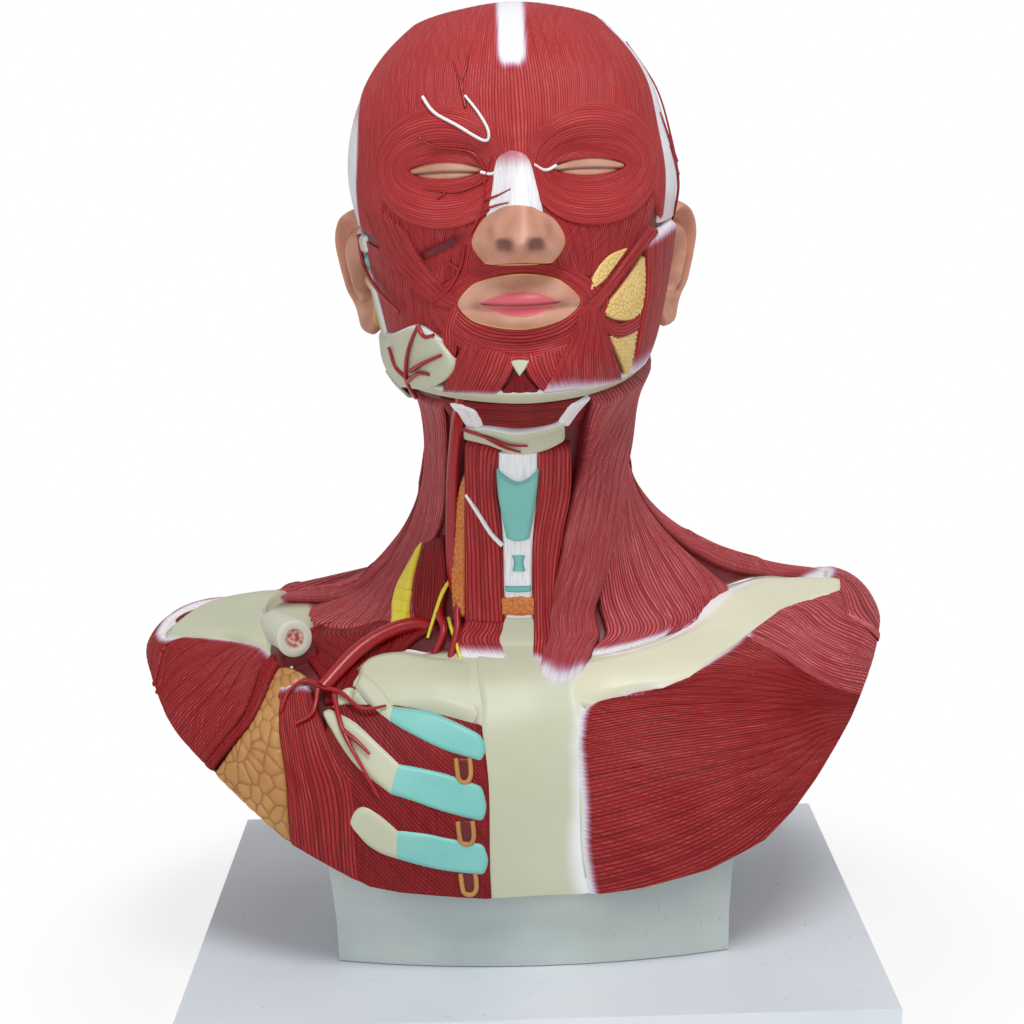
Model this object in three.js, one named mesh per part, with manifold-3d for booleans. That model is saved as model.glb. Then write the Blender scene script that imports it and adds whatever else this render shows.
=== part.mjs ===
// Anatomical model of the muscles of the head, neck and shoulders, on a foot and a square base board.
// Millimetres, +Z up. The face looks towards -Y and the origin is the middle of the board's underside.
// "left" and "right" are the figure's own: its left side is +X.
import * as THREE from "three";
import { mergeVertices } from "three/addons/utils/BufferGeometryUtils.js";
import Module from "manifold-3d";

const wasm = await Module();
wasm.setup();

// Driving sizes

const BUST_WIDTH = 387;
const BUST_DEPTH = 245;
const BUST_TOP = 494;
const BOARD_WIDTH = 344;
const BOARD_DEPTH = 320;
const BOARD_THICKNESS = 18;
const FOOT_TOP = 60;

// Between neighbours, under the bands on the head and on the body, and the casting's wall.
const GAP = 0.5;
const SEAT = 1.3;
const BODY_SEAT = 3;
const WALL = 5;

// How high a band's room reaches, how far bands stop short of the body's cut, the overlap in cubic
// millimetres that counts as a touch, and how far facets may move when they are merged.
const ROOM_HEIGHT = 12;
const TRIM = 0.1;
const TOUCH = 0.002;
const FACET_TOLERANCES = [0.2, 0.1];

// The bust and the foot are drawn at their usual size and stretched to the driving sizes at the end.
const DRAWN = { width: 387, depth: 245, board: 18, foot: 60, top: 494 };
const stretch = {
  x: BUST_WIDTH / DRAWN.width,
  y: BUST_DEPTH / DRAWN.depth,
  foot: (FOOT_TOP - BOARD_THICKNESS) / (DRAWN.foot - DRAWN.board),
  bust: (BUST_TOP - FOOT_TOP) / (DRAWN.top - DRAWN.foot),
};

// Where the neck's middle stands over the board's middle.
const neckPlace = { x: 4, y: 18 };

// Small helpers

const clamp = (value, low, high) => Math.min(high, Math.max(low, value));

function smoothStep(from, to, value) {
  const t = clamp((value - from) / (to - from), 0, 1);
  return t * t * (3 - 2 * t);
}

const signedPower = (value, power) => Math.sign(value) * Math.abs(value) ** power;

// A smooth curve through rows of numbers: place 0 is the first row, 1 the second, and so on.
function splineRow(rows, place, closed = false) {
  const count = rows.length;
  const last = closed ? count : count - 1;
  const at = clamp(place, 0, last - 1e-9);
  const i = Math.floor(at);
  const t = at - i;
  const row = (k) => (closed ? rows[(k + count) % count] : rows[clamp(k, 0, count - 1)]);
  const [a, b, c, d] = [row(i - 1), row(i), row(i + 1), row(i + 2)];
  return b.map((_, k) => {
    const linear = (c[k] - a[k]) * t;
    const square = (2 * a[k] - 5 * b[k] + 4 * c[k] - d[k]) * t * t;
    const cube = (3 * b[k] - a[k] - 3 * c[k] + d[k]) * t * t * t;
    return 0.5 * (2 * b[k] + linear + square + cube);
  });
}

// The bust's surface: rings stacked from the chest to the crown.
// Each ring: z at the front, right side, left side and back, half width right and left,
// y of its middle, depth in front and behind, squareness in front and behind.

const rings = [
  [30, 30, 30, 30, 145, 145, -15, 96, 88, 2.6, 2.6],
  [60, 58, 58, 56, 170, 163, -15, 107, 96, 2.6, 2.6],
  [100, 96, 96, 92, 190, 176, -15, 108, 102, 2.5, 2.5],
  [136, 132, 134, 132, 201, 180, -15, 100, 104, 2.4, 2.4],
  [156, 156, 162, 166, 201, 180, -12, 89, 98, 2.2, 2.3],
  [165, 170, 178, 186, 195, 176, -10, 79, 88, 2.0, 2.2],
  [171, 179, 187, 202, 175, 163, -8, 71, 78, 1.9, 2.1],
  [176, 183, 193, 215, 142, 132, -8, 67, 68, 1.9, 2.0],
  [182, 187, 202, 227, 98, 99, -9, 64, 58, 1.9, 2.0],
  [191, 200, 215, 240, 76, 74, -12, 60, 50, 1.9, 2.0],
  [207, 224, 235, 257, 60, 57, -17, 57, 45, 2.0, 2.0],
  [232, 250, 256, 274, 52, 50, -20, 57, 43, 2.0, 2.0],
  [262, 276, 278, 294, 50, 48, -22, 59, 45, 2.1, 2.0],
  [285, 299, 299, 313, 53, 51, -26, 67, 51, 2.0, 2.0],
  [303, 314, 314, 330, 62, 57, -33, 88, 64, 1.8, 2.0],
  [309, 325, 325, 345, 67, 62, -35, 98, 74, 1.8, 2.0],
  [321, 339, 339, 360, 70, 66, -36, 100, 82, 1.85, 2.0],
  [345, 358, 358, 376, 74, 70, -36, 97, 89, 1.95, 2.05],
  [372, 382, 382, 394, 79, 74, -36, 92, 94, 2.1, 2.1],
  [404, 408, 408, 412, 84, 77, -35, 89.5, 97, 2.25, 2.1],
  [430, 432, 432, 430, 81.5, 71.5, -34, 88, 97, 2.3, 2.1],
  [455, 453, 453, 446, 73, 64.5, -33, 80, 93, 2.2, 2.1],
  [474, 471, 471, 464, 59, 52, -31, 63, 79, 2.1, 2.1],
  [487, 485, 485, 479, 38, 35, -28, 40, 52, 2.1, 2.1],
  [491.5, 491.5, 491.5, 491.5, 0, 0, -26, 0, 0, 2.0, 2.0],
];
const CROWN = rings.length - 1;

// Behind the ridge of the shoulders the surface dips: how deep, at which ring, and over how many rings.
const shoulderDip = { depth: 30, climb: 6.8, reach: 1.3 };

// Rounded swellings on the front: middle x and z, reach in x and z, height.
const swellings = [
  [32, 414, 19, 12, -7],
  [32, 414, 12.5, 8, 5],
  [28, 431, 21, 7, 3],
  [50, 390, 15, 12, 4],
  [38, 364, 13, 14, -3],
  [88, 112, 60, 36, 5],
];
const middleSwellings = [
  [0, 349, 27, 17, 4],
  [0, 317, 16, 10, 5],
  [0, 331, 18, 5, -3],
  [0, 258, 13, 22, 4],
  [0, 110, 22, 60, -4],
];
const lips = [
  [0, 352.5, 19, 4.2, 3.2],
  [0, 342.5, 16, 4.6, 4],
  [0, 347.8, 24, 1.5, -2.2],
];
const noseSize = { root: 424, tip: 379, lip: 366, rise: 24, wing: 16.5, bridge: 8 };

function swell(list, x, z) {
  return list.reduce((sum, [cx, cz, reachX, reachZ, height]) => {
    const far = ((x - cx) / reachX) ** 2 + ((z - cz) / reachZ) ** 2;
    return sum + height * Math.exp(-far);
  }, 0);
}

function noseRise(x, z) {
  const down = clamp((noseSize.root - z) / (noseSize.root - noseSize.tip), 0, 1);
  const ridge = 4 + (noseSize.rise - 4) * down ** 1.2;
  const under = smoothStep(noseSize.lip - 4, noseSize.lip + 13, z);
  const brow = 1 - smoothStep(noseSize.root - 4, noseSize.root + 10, z);
  const width = noseSize.bridge + (noseSize.wing - noseSize.bridge) * down;
  const wings = swell([[14, 374, 6.5, 6.5, 6]], Math.abs(x), z);
  return ridge * under * brow * Math.exp(-1.15 * (Math.abs(x) / width) ** 2.2) + wings;
}

// Relief 0 is the bare rings, 1 adds the broad swellings, and 2 the nose and lips as well.
function reliefAt(x, z, relief) {
  if (relief === 0) return 0;
  const plain = swell(swellings, Math.abs(x), z) + swell(middleSwellings, x, z);
  return relief === 2 ? plain + swell(lips, x, z) + noseRise(x, z) : plain;
}

// turn 0 is the front, plus a quarter turn the left side; climb counts the rings.
function onSurface(turn, climb, relief = 2) {
  const ring = splineRow(rings, climb);
  const [front, right, left, back, halfRight, halfLeft, middle, fore, aft, squareFore, squareAft] = ring;
  const c = Math.cos(turn);
  const s = Math.sin(turn);
  const square = c > 0 ? squareFore : squareAft;
  const x = Math.max(0, s > 0 ? halfLeft : halfRight) * signedPower(s, 2 / square);
  const plainY = middle - Math.max(0, c > 0 ? fore : aft) * signedPower(c, 2 / square);
  const side = (right + left) / 2;
  const tilt = ((front - back) / 2) * c;
  const sag = ((front + back) / 4 - side / 2) * Math.cos(2 * turn);
  const { depth, climb: dipClimb, reach } = shoulderDip;
  const dip = c < 0 ? depth * Math.exp(-(((climb - dipClimb) / reach) ** 2)) * Math.sin(2 * turn) ** 2 : 0;
  const z = (front + back) / 4 + side / 2 + tilt + sag + ((left - right) / 2) * s ** 3 - dip;
  const y = plainY - reliefAt(x, z, relief) * smoothStep(0, 0.45, c);
  return new THREE.Vector3(x, y, z);
}

// The direction out of the bare rings, which turns more gently than the relief does.
function outwardAt(turn, climb) {
  if (climb > CROWN - 0.03) return new THREE.Vector3(0, 0, 1);
  const step = 1e-3;
  const aroundward = onSurface(turn + step, climb, 0).sub(onSurface(turn - step, climb, 0));
  const upward = onSurface(turn, climb + step, 0).sub(onSurface(turn, climb - step, 0));
  return aroundward.cross(upward).normalize();
}

// Places on the surface, given by two real coordinates in one view.

const coarse = [];
for (let turn = -Math.PI; turn < Math.PI; turn += Math.PI / 60) {
  for (let climb = 0.2; climb < CROWN; climb += 0.2) {
    coarse.push({ turn, climb, point: onSurface(turn, climb, 0) });
  }
}

function findPlace(allowed, axes, target) {
  let best = null;
  let bestFar = Infinity;
  for (const place of coarse) {
    if (!allowed(place)) continue;
    const far = Math.hypot(place.point[axes[0]] - target[0], place.point[axes[1]] - target[1]);
    if (far < bestFar) {
      best = place;
      bestFar = far;
    }
  }
  let { turn, climb } = best;
  for (let round = 0; round < 20; round++) {
    const here = onSurface(turn, climb, 0);
    const miss = axes.map((axis, k) => target[k] - here[axis]);
    const byTurn = onSurface(turn + 1e-3, climb, 0).sub(here).multiplyScalar(1000);
    const byClimb = onSurface(turn, climb + 1e-3, 0).sub(here).multiplyScalar(1000);
    const [a, b] = axes.map((axis) => byTurn[axis]);
    const [c, d] = axes.map((axis) => byClimb[axis]);
    const scale = a * d - b * c;
    if (Math.abs(scale) < 1) break;
    turn += clamp((d * miss[0] - c * miss[1]) / scale, -0.08, 0.08);
    climb = clamp(climb + clamp((a * miss[1] - b * miss[0]) / scale, -0.3, 0.3), 0.01, CROWN - 0.01);
  }
  const end = onSurface(turn, climb, 0);
  const endFar = Math.hypot(end[axes[0]] - target[0], end[axes[1]] - target[1]);
  return endFar < bestFar ? [turn, climb] : [best.turn, best.climb];
}

const seenFrom = (allowed, axes) => (...points) => points.map((point) => findPlace(allowed, axes, point));
const front = seenFrom((p) => Math.cos(p.turn) > -0.05, ["x", "z"]);
const behind = seenFrom((p) => Math.cos(p.turn) < 0.05, ["x", "z"]);
const leftSide = seenFrom((p) => Math.sin(p.turn) > 0.05, ["y", "z"]);
const rightSide = seenFrom((p) => Math.sin(p.turn) < -0.05, ["y", "z"]);
const shoulderTop = seenFrom((p) => p.climb > 4.5 && p.climb < 11, ["x", "y"]);
const crownTop = seenFrom((p) => p.climb > 20, ["x", "y"]);

// One guide that runs through several views, and the route of a cord with its height at each place.
const through = (...runs) => runs.flat();
const route = (view, ...stops) => stops.map(([a, b, height]) => [view([a, b])[0], height]);

// The same guide mirrored to the other side of the body.
const mirrored = (guide) => guide.map(([turn, climb]) => [-turn, climb]);

// Solids

function toReal(point) {
  const { board, foot } = DRAWN;
  const z = point.z < foot
    ? BOARD_THICKNESS + (point.z - board) * stretch.foot
    : FOOT_TOP + (point.z - foot) * stretch.bust;
  return [point.x * stretch.x + neckPlace.x, point.y * stretch.y + neckPlace.y, z];
}

const asMade = (point) => [point.x, point.y, point.z];

function solidFrom(points, triangles, place = toReal) {
  const vertProperties = new Float32Array(points.flatMap(place));
  const make = (list) => {
    const triVerts = new Uint32Array(list.flat());
    return new wasm.Manifold(new wasm.Mesh({ numProp: 3, vertProperties, triVerts }));
  };
  const made = make(triangles);
  if (made.volume() > 0) return made;
  return make(triangles.map(([a, b, c]) => [a, c, b]));
}

function solidOfGeometry(geometry, place = toReal) {
  const bare = new THREE.BufferGeometry();
  const loose = geometry.index ? geometry.toNonIndexed() : geometry;
  bare.setAttribute("position", loose.getAttribute("position"));
  const merged = mergeVertices(bare, 1e-3);
  const corner = merged.getAttribute("position");
  const points = [];
  for (let i = 0; i < corner.count; i++) points.push(new THREE.Vector3().fromBufferAttribute(corner, i));
  const triangles = [];
  for (let i = 0; i < merged.index.count; i += 3) {
    const [a, b, c] = [0, 1, 2].map((k) => merged.index.getX(i + k));
    if (a !== b && b !== c && c !== a) triangles.push([a, b, c]);
  }
  return solidFrom(points, triangles, place);
}

function largestBody(solid) {
  const bodies = solid.decompose();
  return bodies.reduce((best, body) => (body.volume() > best.volume() ? body : best), bodies[0]);
}

// The two faces of a shell between lattices of points, joined along their rims.
function shellSolid(lower, upper, closed) {
  const rows = upper.length;
  const columns = upper[0].length;
  const points = [...lower.flat(), ...upper.flat()];
  const low = (i, j) => (i % rows) * columns + j;
  const high = (i, j) => rows * columns + (i % rows) * columns + j;
  const triangles = [];
  const quad = (a, b, c, d) => triangles.push([a, b, c], [a, c, d]);
  const lastRow = closed ? rows : rows - 1;
  for (let i = 0; i < lastRow; i++) {
    for (let j = 0; j < columns - 1; j++) {
      quad(high(i, j), high(i + 1, j), high(i + 1, j + 1), high(i, j + 1));
      quad(low(i, j), low(i, j + 1), low(i + 1, j + 1), low(i + 1, j));
    }
    quad(low(i, 0), low(i + 1, 0), high(i + 1, 0), high(i, 0));
    quad(low(i, columns - 1), high(i, columns - 1), high(i + 1, columns - 1), low(i + 1, columns - 1));
  }
  for (let j = 0; j < columns - 1 && !closed; j++) {
    quad(low(0, j), high(0, j), high(0, j + 1), low(0, j + 1));
    const end = rows - 1;
    quad(low(end, j), low(end, j + 1), high(end, j + 1), high(end, j));
  }
  return solidFrom(points, triangles);
}

// A band of fibres on the surface. Its guides run along the fibres, from one edge of the band to the other.
// A grown band is the room that it takes away from the bands beneath it, from a little under its base.
function band(options) {
  const { guides, thick = 4, rows = 6, columns = 4, edge = 0.55, ends = 0.7 } = options;
  const { ridge = 0, closed = false, overCrown = false, base = 0, under = 2, onCore = false } = options;
  const flat = ([turn, climb]) => [(CROWN - climb) * Math.sin(turn), (CROWN - climb) * Math.cos(turn)];
  const unflat = ([p, q]) => [Math.atan2(p, q), CROWN - Math.hypot(p, q)];
  const lines = overCrown ? guides.map((guide) => guide.map(flat)) : guides;
  const rowCount = closed ? rows : rows + 1;
  return (grow) => {
    const places = [];
    for (let i = 0; i < rowCount; i++) {
      const along = i / rows;
      const crossed = lines.map((line) => {
        const length = closed ? line.length : line.length - 1;
        return splineRow(line, along * length, closed);
      });
      const row = [];
      for (let j = 0; j <= columns; j++) {
        const place = splineRow(crossed, (j / columns) * (crossed.length - 1));
        row.push(overCrown ? unflat(place) : place);
      }
      places.push(row);
    }
    const skin = places.map((row) => row.map(([turn, climb]) => onSurface(turn, climb)));
    const bare = places.map((row) => row.map(([turn, climb]) => onSurface(turn, climb, 0)));
    const shift = (i, j) => {
      const move = new THREE.Vector3();
      const away = (di, dj) => move.add(bare[i][j].clone().sub(bare[i + di][j + dj]).setLength(grow));
      if (j === 0) away(0, 1);
      if (j === columns) away(0, -1);
      if (i === 0 && !closed) away(1, 0);
      if (i === rowCount - 1 && !closed) away(-1, 0);
      return move;
    };
    const lift = (i, j) => {
      const across = Math.sin((Math.PI * j) / columns) ** 0.7;
      const lengthwise = closed ? 1 : Math.min(1, 1.6 * Math.sin((Math.PI * i) / rows));
      const inner = j > 0 && j < columns ? ridge * (j % 2 ? 1 : -1) : 0;
      return thick * (edge + (1 - edge) * across) * (ends + (1 - ends) * lengthwise) + inner;
    };
    const lay = (height) =>
      places.map((row, i) =>
        row.map(([turn, climb], j) => {
          const moved = grow > 0 ? shift(i, j) : new THREE.Vector3();
          return skin[i][j].clone().add(moved).addScaledVector(outwardAt(turn, climb), height(i, j));
        }),
      );
    const floor = base - (grow > 0 ? under : 0);
    const sunk = places.map((row, i) =>
      row.map(([turn, climb], j) => {
        const out = outwardAt(turn, climb);
        const moved = grow > 0 ? shift(i, j) : new THREE.Vector3();
        return onSurface(turn, climb, 1).add(moved).addScaledVector(out, floor);
      }),
    );
    const lower = onCore ? sunk : lay(() => floor);
    return shellSolid(lower, lay((i, j) => base + (grow > 0 ? ROOM_HEIGHT : lift(i, j))), closed);
  };
}

// Bands that run into one another, as one piece.
const joined = (...bands) => (grow) => bands.map((make) => make(grow)).reduce((all, one) => all.add(one));

// A round cord that lies on the surface: each of its runs is a list of [place, height above the surface].
const CORD_STEP = 9;
const CORD_SIDES = 6;

function cordPoints(stops) {
  return stops.map(([[turn, climb], height]) => {
    return onSurface(turn, climb).addScaledVector(outwardAt(turn, climb), height);
  });
}

function cord(runsOfStops, radius) {
  return (grow) => {
    const runs = runsOfStops.map((stops) => {
      const points = cordPoints(stops);
      const last = points.length - 1;
      const startward = points[0].clone().sub(points[1]).setLength(grow + 1e-6);
      const endward = points[last].clone().sub(points[last - 1]).setLength(grow + 1e-6);
      points[0] = points[0].clone().add(startward);
      points[last] = points[last].clone().add(endward);
      const curve = new THREE.CatmullRomCurve3(points, false, "centripetal");
      const outline = new THREE.Shape();
      outline.absarc(0, 0, radius + grow, 0, 2 * Math.PI);
      const steps = Math.max(4, Math.round(curve.getLength() / CORD_STEP));
      const options = { steps, extrudePath: curve, curveSegments: CORD_SIDES };
      return solidOfGeometry(new THREE.ExtrudeGeometry(outline, options));
    });
    return runs.reduce((all, run) => all.add(run));
  };
}

// Front outline to which the torso is cut, from the right shoulder down round the chest to the left one.
const shieldOutline = [
  [-207, 520], [-207, 165], [-201, 155], [-187, 140], [-178, 127], [-166, 114], [-149, 101], [-125, 88],
  [-109, 75], [-96, 68], [-69, 63], [-25, 59], [24, 60], [50, 63], [83, 70], [111, 82], [126, 95],
  [138, 108], [159, 133], [176, 157], [184, 171], [186, 181], [186, 520],
];

const shieldMiddle = { x: -5, z: 200 };
const SHIELD_DEPTH = 400;

function shieldPrism(inset) {
  const middle = new THREE.Vector2(shieldMiddle.x, shieldMiddle.z);
  const corners = shieldOutline.map(([x, z]) => {
    const point = new THREE.Vector2(x, z);
    const inward = middle.clone().sub(point).setLength(inset);
    return point.add(inward);
  });
  const options = { depth: SHIELD_DEPTH, bevelEnabled: false };
  const geometry = new THREE.ExtrudeGeometry(new THREE.Shape(corners), options);
  geometry.rotateX(Math.PI / 2);
  geometry.translate(0, SHIELD_DEPTH / 2, 0);
  return solidOfGeometry(geometry);
}

// How far the casting lies under the bands: more on the body, where its coarse faces bridge the hollows.
const seatAt = (climb) => SEAT + (BODY_SEAT - SEAT) * (1 - smoothStep(11, 14, climb));

// The surface as one closed skin, moved inwards by a depth that depends on the climb.
// Its columns stand closer together at the front.
function wholeSkin(depth, columns, rowPlaces) {
  const points = [];
  const turns = [];
  for (let j = 0; j < columns; j++) {
    const w = (2 * j) / columns - 1;
    turns.push(Math.PI * (0.62 * w + 0.38 * w ** 3));
  }
  for (const climb of rowPlaces) {
    for (const turn of turns) {
      points.push(onSurface(turn, climb, 1).addScaledVector(outwardAt(turn, climb), -depth(climb)));
    }
  }
  const top = points.length;
  points.push(onSurface(0, CROWN, 0).addScaledVector(outwardAt(0, CROWN), -depth(CROWN)));
  const bottom = points.length;
  points.push(new THREE.Vector3(0, rings[0][6], rings[0][0]));
  const triangles = [];
  const at = (i, j) => i * columns + (j % columns);
  const last = rowPlaces.length - 1;
  for (let j = 0; j < columns; j++) {
    for (let i = 0; i < last; i++) {
      triangles.push([at(i, j), at(i, j + 1), at(i + 1, j + 1)], [at(i, j), at(i + 1, j + 1), at(i + 1, j)]);
    }
    triangles.push([at(last, j), at(last, j + 1), top], [at(0, j + 1), at(0, j), bottom]);
  }
  return solidFrom(points, triangles);
}

function rowList(spans) {
  const list = [];
  for (const [from, to, count] of spans) {
    for (let k = 0; k < count; k++) list.push(from + ((to - from) * k) / count);
  }
  return list;
}

const SKIN_COLUMNS = 36;
const ROOM_COLUMNS = 16;
const outerRows = rowList([
  [0, 1, 1], [1, 4, 2], [4, 10, 6], [10, 14, 3], [14, 20, 9], [20, 23, 3], [23, 23.8, 2],
]);
const opening = { width: 120, depth: 110, height: 30, y: -10, z: 62 };
const innerRows = rowList([[0, 4, 2], [4, 10, 4], [10, 14, 2], [14, 20, 4], [20, 23.6, 4]]);

function boxSolid(width, depth, height, x, y, z, place = toReal) {
  const geometry = new THREE.BoxGeometry(width, depth, height);
  geometry.translate(x, y, z);
  return solidOfGeometry(geometry, place);
}

function bustSolid() {
  const outer = wholeSkin(seatAt, SKIN_COLUMNS, outerRows).intersect(shieldPrism(0));
  const innerSkin = wholeSkin((climb) => seatAt(climb) + WALL, ROOM_COLUMNS, innerRows);
  const inner = innerSkin.intersect(shieldPrism(WALL));
  const { width, depth, height, y, z } = opening;
  const hollow = outer.subtract(inner).subtract(boxSolid(width, depth, height, 0, y, z));
  return hollow.asOriginal().simplify(FACET_TOLERANCES[0]);
}

// The parts, listed from the top layer down: each one is cut back by the room of those before it.

const colours = {
  muscle: 0x9c3a3c,
  paleMuscle: 0xb24b4f,
  darkMuscle: 0x7d2228,
  bone: 0xcdd1b6,
  fascia: 0xe9eae6,
  cartilage: 0x7dc8be,
  fat: 0xd9a95a,
  nerve: 0xe1cd32,
  artery: 0xaf1923,
  gland: 0xdc7d32,
  skin: 0xbe8773,
  paint: 0xb4c0c0,
  board: 0xd2dce2,
  steel: 0x9a9c9e,
};
const rough = { bone: 0.5, fascia: 0.5, artery: 0.3, nerve: 0.4, paint: 0.6 };

const layers = [];
const layer = (name, colour, make, torso = false) => layers.push({ name, colour, make, torso });

// Both sides of a pair: the right side is drawn and the left one mirrors it.
function pair(name, colour, options, torso = false) {
  layer(name + "_right", colour, band(options), torso);
  layer(name + "_left", colour, band({ ...options, guides: options.guides.map(mirrored) }), torso);
}

// Ears: a shell outline with a hollow, standing off the side of the head.

const earSize = { height: 63, width: 34, thick: 7, flare: 0.62, bevel: 1.6, bowl: 5, sunk: 3 };
const earPlace = { out: 71.5, middle: -2.5, y: -26, z: 360 };

function earSolid(side) {
  return (grow) => {
    const { height, width, thick, flare, sunk } = earSize;
    const { out, middle, y, z } = earPlace;
    const outline = new THREE.Shape();
    outline.moveTo(0.1 * width, -0.5 * height);
    outline.bezierCurveTo(0.5 * width, -0.5 * height, 0.55 * width, -0.2 * height, 0.75 * width, 0);
    outline.bezierCurveTo(1.15 * width, 0.3 * height, 0.9 * width, 0.52 * height, 0.45 * width, 0.5 * height);
    outline.bezierCurveTo(0.1 * width, 0.48 * height, -0.02 * width, 0.3 * height, 0, 0.1 * height);
    outline.lineTo(-0.05 * width, -0.3 * height);
    outline.bezierCurveTo(-0.08 * width, -0.42 * height, 0, -0.5 * height, 0.1 * width, -0.5 * height);
    const bevel = earSize.bevel + grow;
    const bevels = { bevelThickness: bevel, bevelSize: bevel, bevelSegments: 1 };
    const options = { ...bevels, depth: thick, curveSegments: 3 };
    const shell = new THREE.ExtrudeGeometry(outline, options);
    const bowl = new THREE.SphereGeometry(1, 8, 5);
    bowl.scale(0.3 * width, 0.27 * height, earSize.bowl);
    bowl.translate(0.42 * width, -0.02 * height, thick + 2);
    const lay = (geometry) => {
      geometry.translate(-2, 0, -sunk);
      geometry.rotateX(Math.PI / 2);
      geometry.rotateZ(Math.PI / 2);
      geometry.rotateZ(-flare);
      geometry.scale(side, 1, 1);
      geometry.translate(side * out + middle, y, z);
      return solidOfGeometry(geometry);
    };
    const body = lay(shell);
    return grow > 0 ? body : body.subtract(lay(bowl));
  };
}

layer("ear_right", "skin", earSolid(-1));
layer("ear_left", "skin", earSolid(1));

// Vessels that lie on top

layer("carotid_artery", "artery", cord([route(front, [-32, 290, 4.5], [-34, 256, 5.5], [-37, 224, 5])], 3.8));
layer("subclavian_artery", "artery", cord([
  route(front, [-58, 180, 4], [-72, 176, 6.5], [-88, 168, 7], [-104, 156, 6]),
], 4));

// Nose and mouth

layer("nose_tip", "skin", band({
  guides: [
    front([-17, 369], [-23, 378], [-18, 389], [-9, 395]),
    front([-8, 368], [-9, 380], [-7, 390], [-4, 396.5]),
    front([4, 368], [5, 380], [4, 390], [2, 396.5]),
    front([13, 369], [19, 378], [15, 388], [6, 394]),
  ],
  thick: 2.5, rows: 6, columns: 8, edge: 0.5, onCore: true,
}));
layer("nasal_bridge", "fascia", band({
  guides: [
    front([-14, 392], [-12, 404], [-8, 420]),
    front([-1.5, 392], [-1.5, 406], [-1.5, 421]),
    front([11, 392], [9, 404], [5, 420]),
  ],
  thick: 2.4, rows: 4, columns: 4, onCore: true,
}));
layer("lip_patch", "skin", band({
  guides: [
    front([-29, 349], [-20, 343], [-2, 339], [14, 343], [24, 349]),
    front([-29.5, 350.5], [-18, 350], [-2, 350], [13, 350], [24.5, 350.5]),
    front([-29, 352], [-20, 359], [-3, 364], [13, 360.5], [24, 352]),
  ],
  thick: 2.6, rows: 8, columns: 6, edge: 0.7, ends: 0.8,
}));
layer("mouth_ring_muscle", "muscle", band({
  guides: [
    front([-30, 350.5], [-20, 360], [-3, 365], [13, 361.5], [25, 350.5], [14, 342], [-2, 338], [-20, 342]),
    front([-44, 349], [-27, 368], [-3, 373], [21, 367], [39, 350], [26, 330], [-2, 323], [-30, 330]),
  ],
  thick: 3.4, rows: 14, columns: 2, closed: true, edge: 0.6,
}));

// Eyes

const eye = { x: 33, z: 412, lidWide: 16.5, lidHigh: 4.6, ringWide: 31, ringHigh: 28 };

function oval(x, z, wide, high, count) {
  const points = [];
  for (let k = 0; k < count; k++) {
    const a = (2 * Math.PI * k) / count;
    points.push([x + wide * Math.cos(a), z + high * Math.sin(a)]);
  }
  return front(...points);
}

for (const [side, word] of [[-1, "right"], [1, "left"]]) {
  const x = side * eye.x - 1.5;
  const [near, far] = [x - eye.lidWide, x + eye.lidWide];
  layer("eyelids_" + word, "skin", band({
    guides: [
      front([near, eye.z - 1], [x, eye.z - eye.lidHigh], [far, eye.z - 1]),
      front([near, eye.z], [x, eye.z], [far, eye.z]),
      front([near, eye.z + 1], [x, eye.z + eye.lidHigh], [far, eye.z + 1]),
    ],
    thick: 2.7, rows: 6, columns: 4, ends: 0.5,
  }));
  layer("eye_ring_muscle_" + word, "darkMuscle", band({
    guides: [
      oval(x, eye.z, eye.lidWide + 1, eye.lidHigh + 0.6, 12),
      oval(x + side, eye.z + 0.5, eye.lidWide + 7, eye.lidHigh + 10, 12),
      oval(x + side * 2, eye.z + 1, eye.ringWide, eye.ringHigh, 12),
    ],
    thick: 3.4, rows: 14, columns: 3, closed: true, edge: 0.5,
  }));
}

// Face muscles

layer("cheek_muscle_right", "paleMuscle", band({
  guides: [
    front([-70, 384], [-63, 370], [-54, 360], [-44, 351], [-33, 346]),
    front([-62, 385], [-56, 372], [-47, 361], [-39, 353], [-31, 348]),
    front([-52, 384], [-47, 373], [-40, 363], [-34, 357], [-27, 352]),
  ],
  thick: 3.8, rows: 6, columns: 4, ridge: 0.2,
}));
layer("cheek_muscle_left", "paleMuscle", band({
  guides: [
    front([64, 381], [52, 368], [41, 355], [31, 343]),
    front([58, 384], [46, 369], [36, 357], [27, 349]),
  ],
  thick: 4.4, rows: 6, columns: 3, ridge: 0.2,
}));
layer("jaw_muscle_left", "muscle", band({
  guides: [
    front([56, 378], [56, 352], [52, 333], [48, 312]),
    through(leftSide([-70, 384], [-62, 352]), front([62, 330], [56, 314])),
    leftSide([-50, 384], [-42, 350], [-40, 316]),
  ],
  thick: 4.4, rows: 6, columns: 5, ridge: 0.2,
}));
layer("mouth_corner_muscle_left", "muscle", band({
  guides: [
    front([24, 345], [20, 334], [13, 322], [6, 310]),
    front([28, 350], [26, 336], [21, 322], [20, 310]),
    front([31, 350], [32, 338], [33, 324], [34, 310]),
    front([33, 345], [37, 334], [40, 324], [45, 311]),
  ],
  thick: 3.8, rows: 5, columns: 4, ridge: 0.2,
}));
layer("mouth_corner_muscle_right", "muscle", band({
  guides: [
    front([-28, 349], [-31, 338], [-31, 328], [-38, 314]),
    front([-34, 352], [-39, 340], [-40, 330], [-46, 318]),
  ],
  thick: 3.6, rows: 5, columns: 3, ridge: 0.2,
}));
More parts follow.
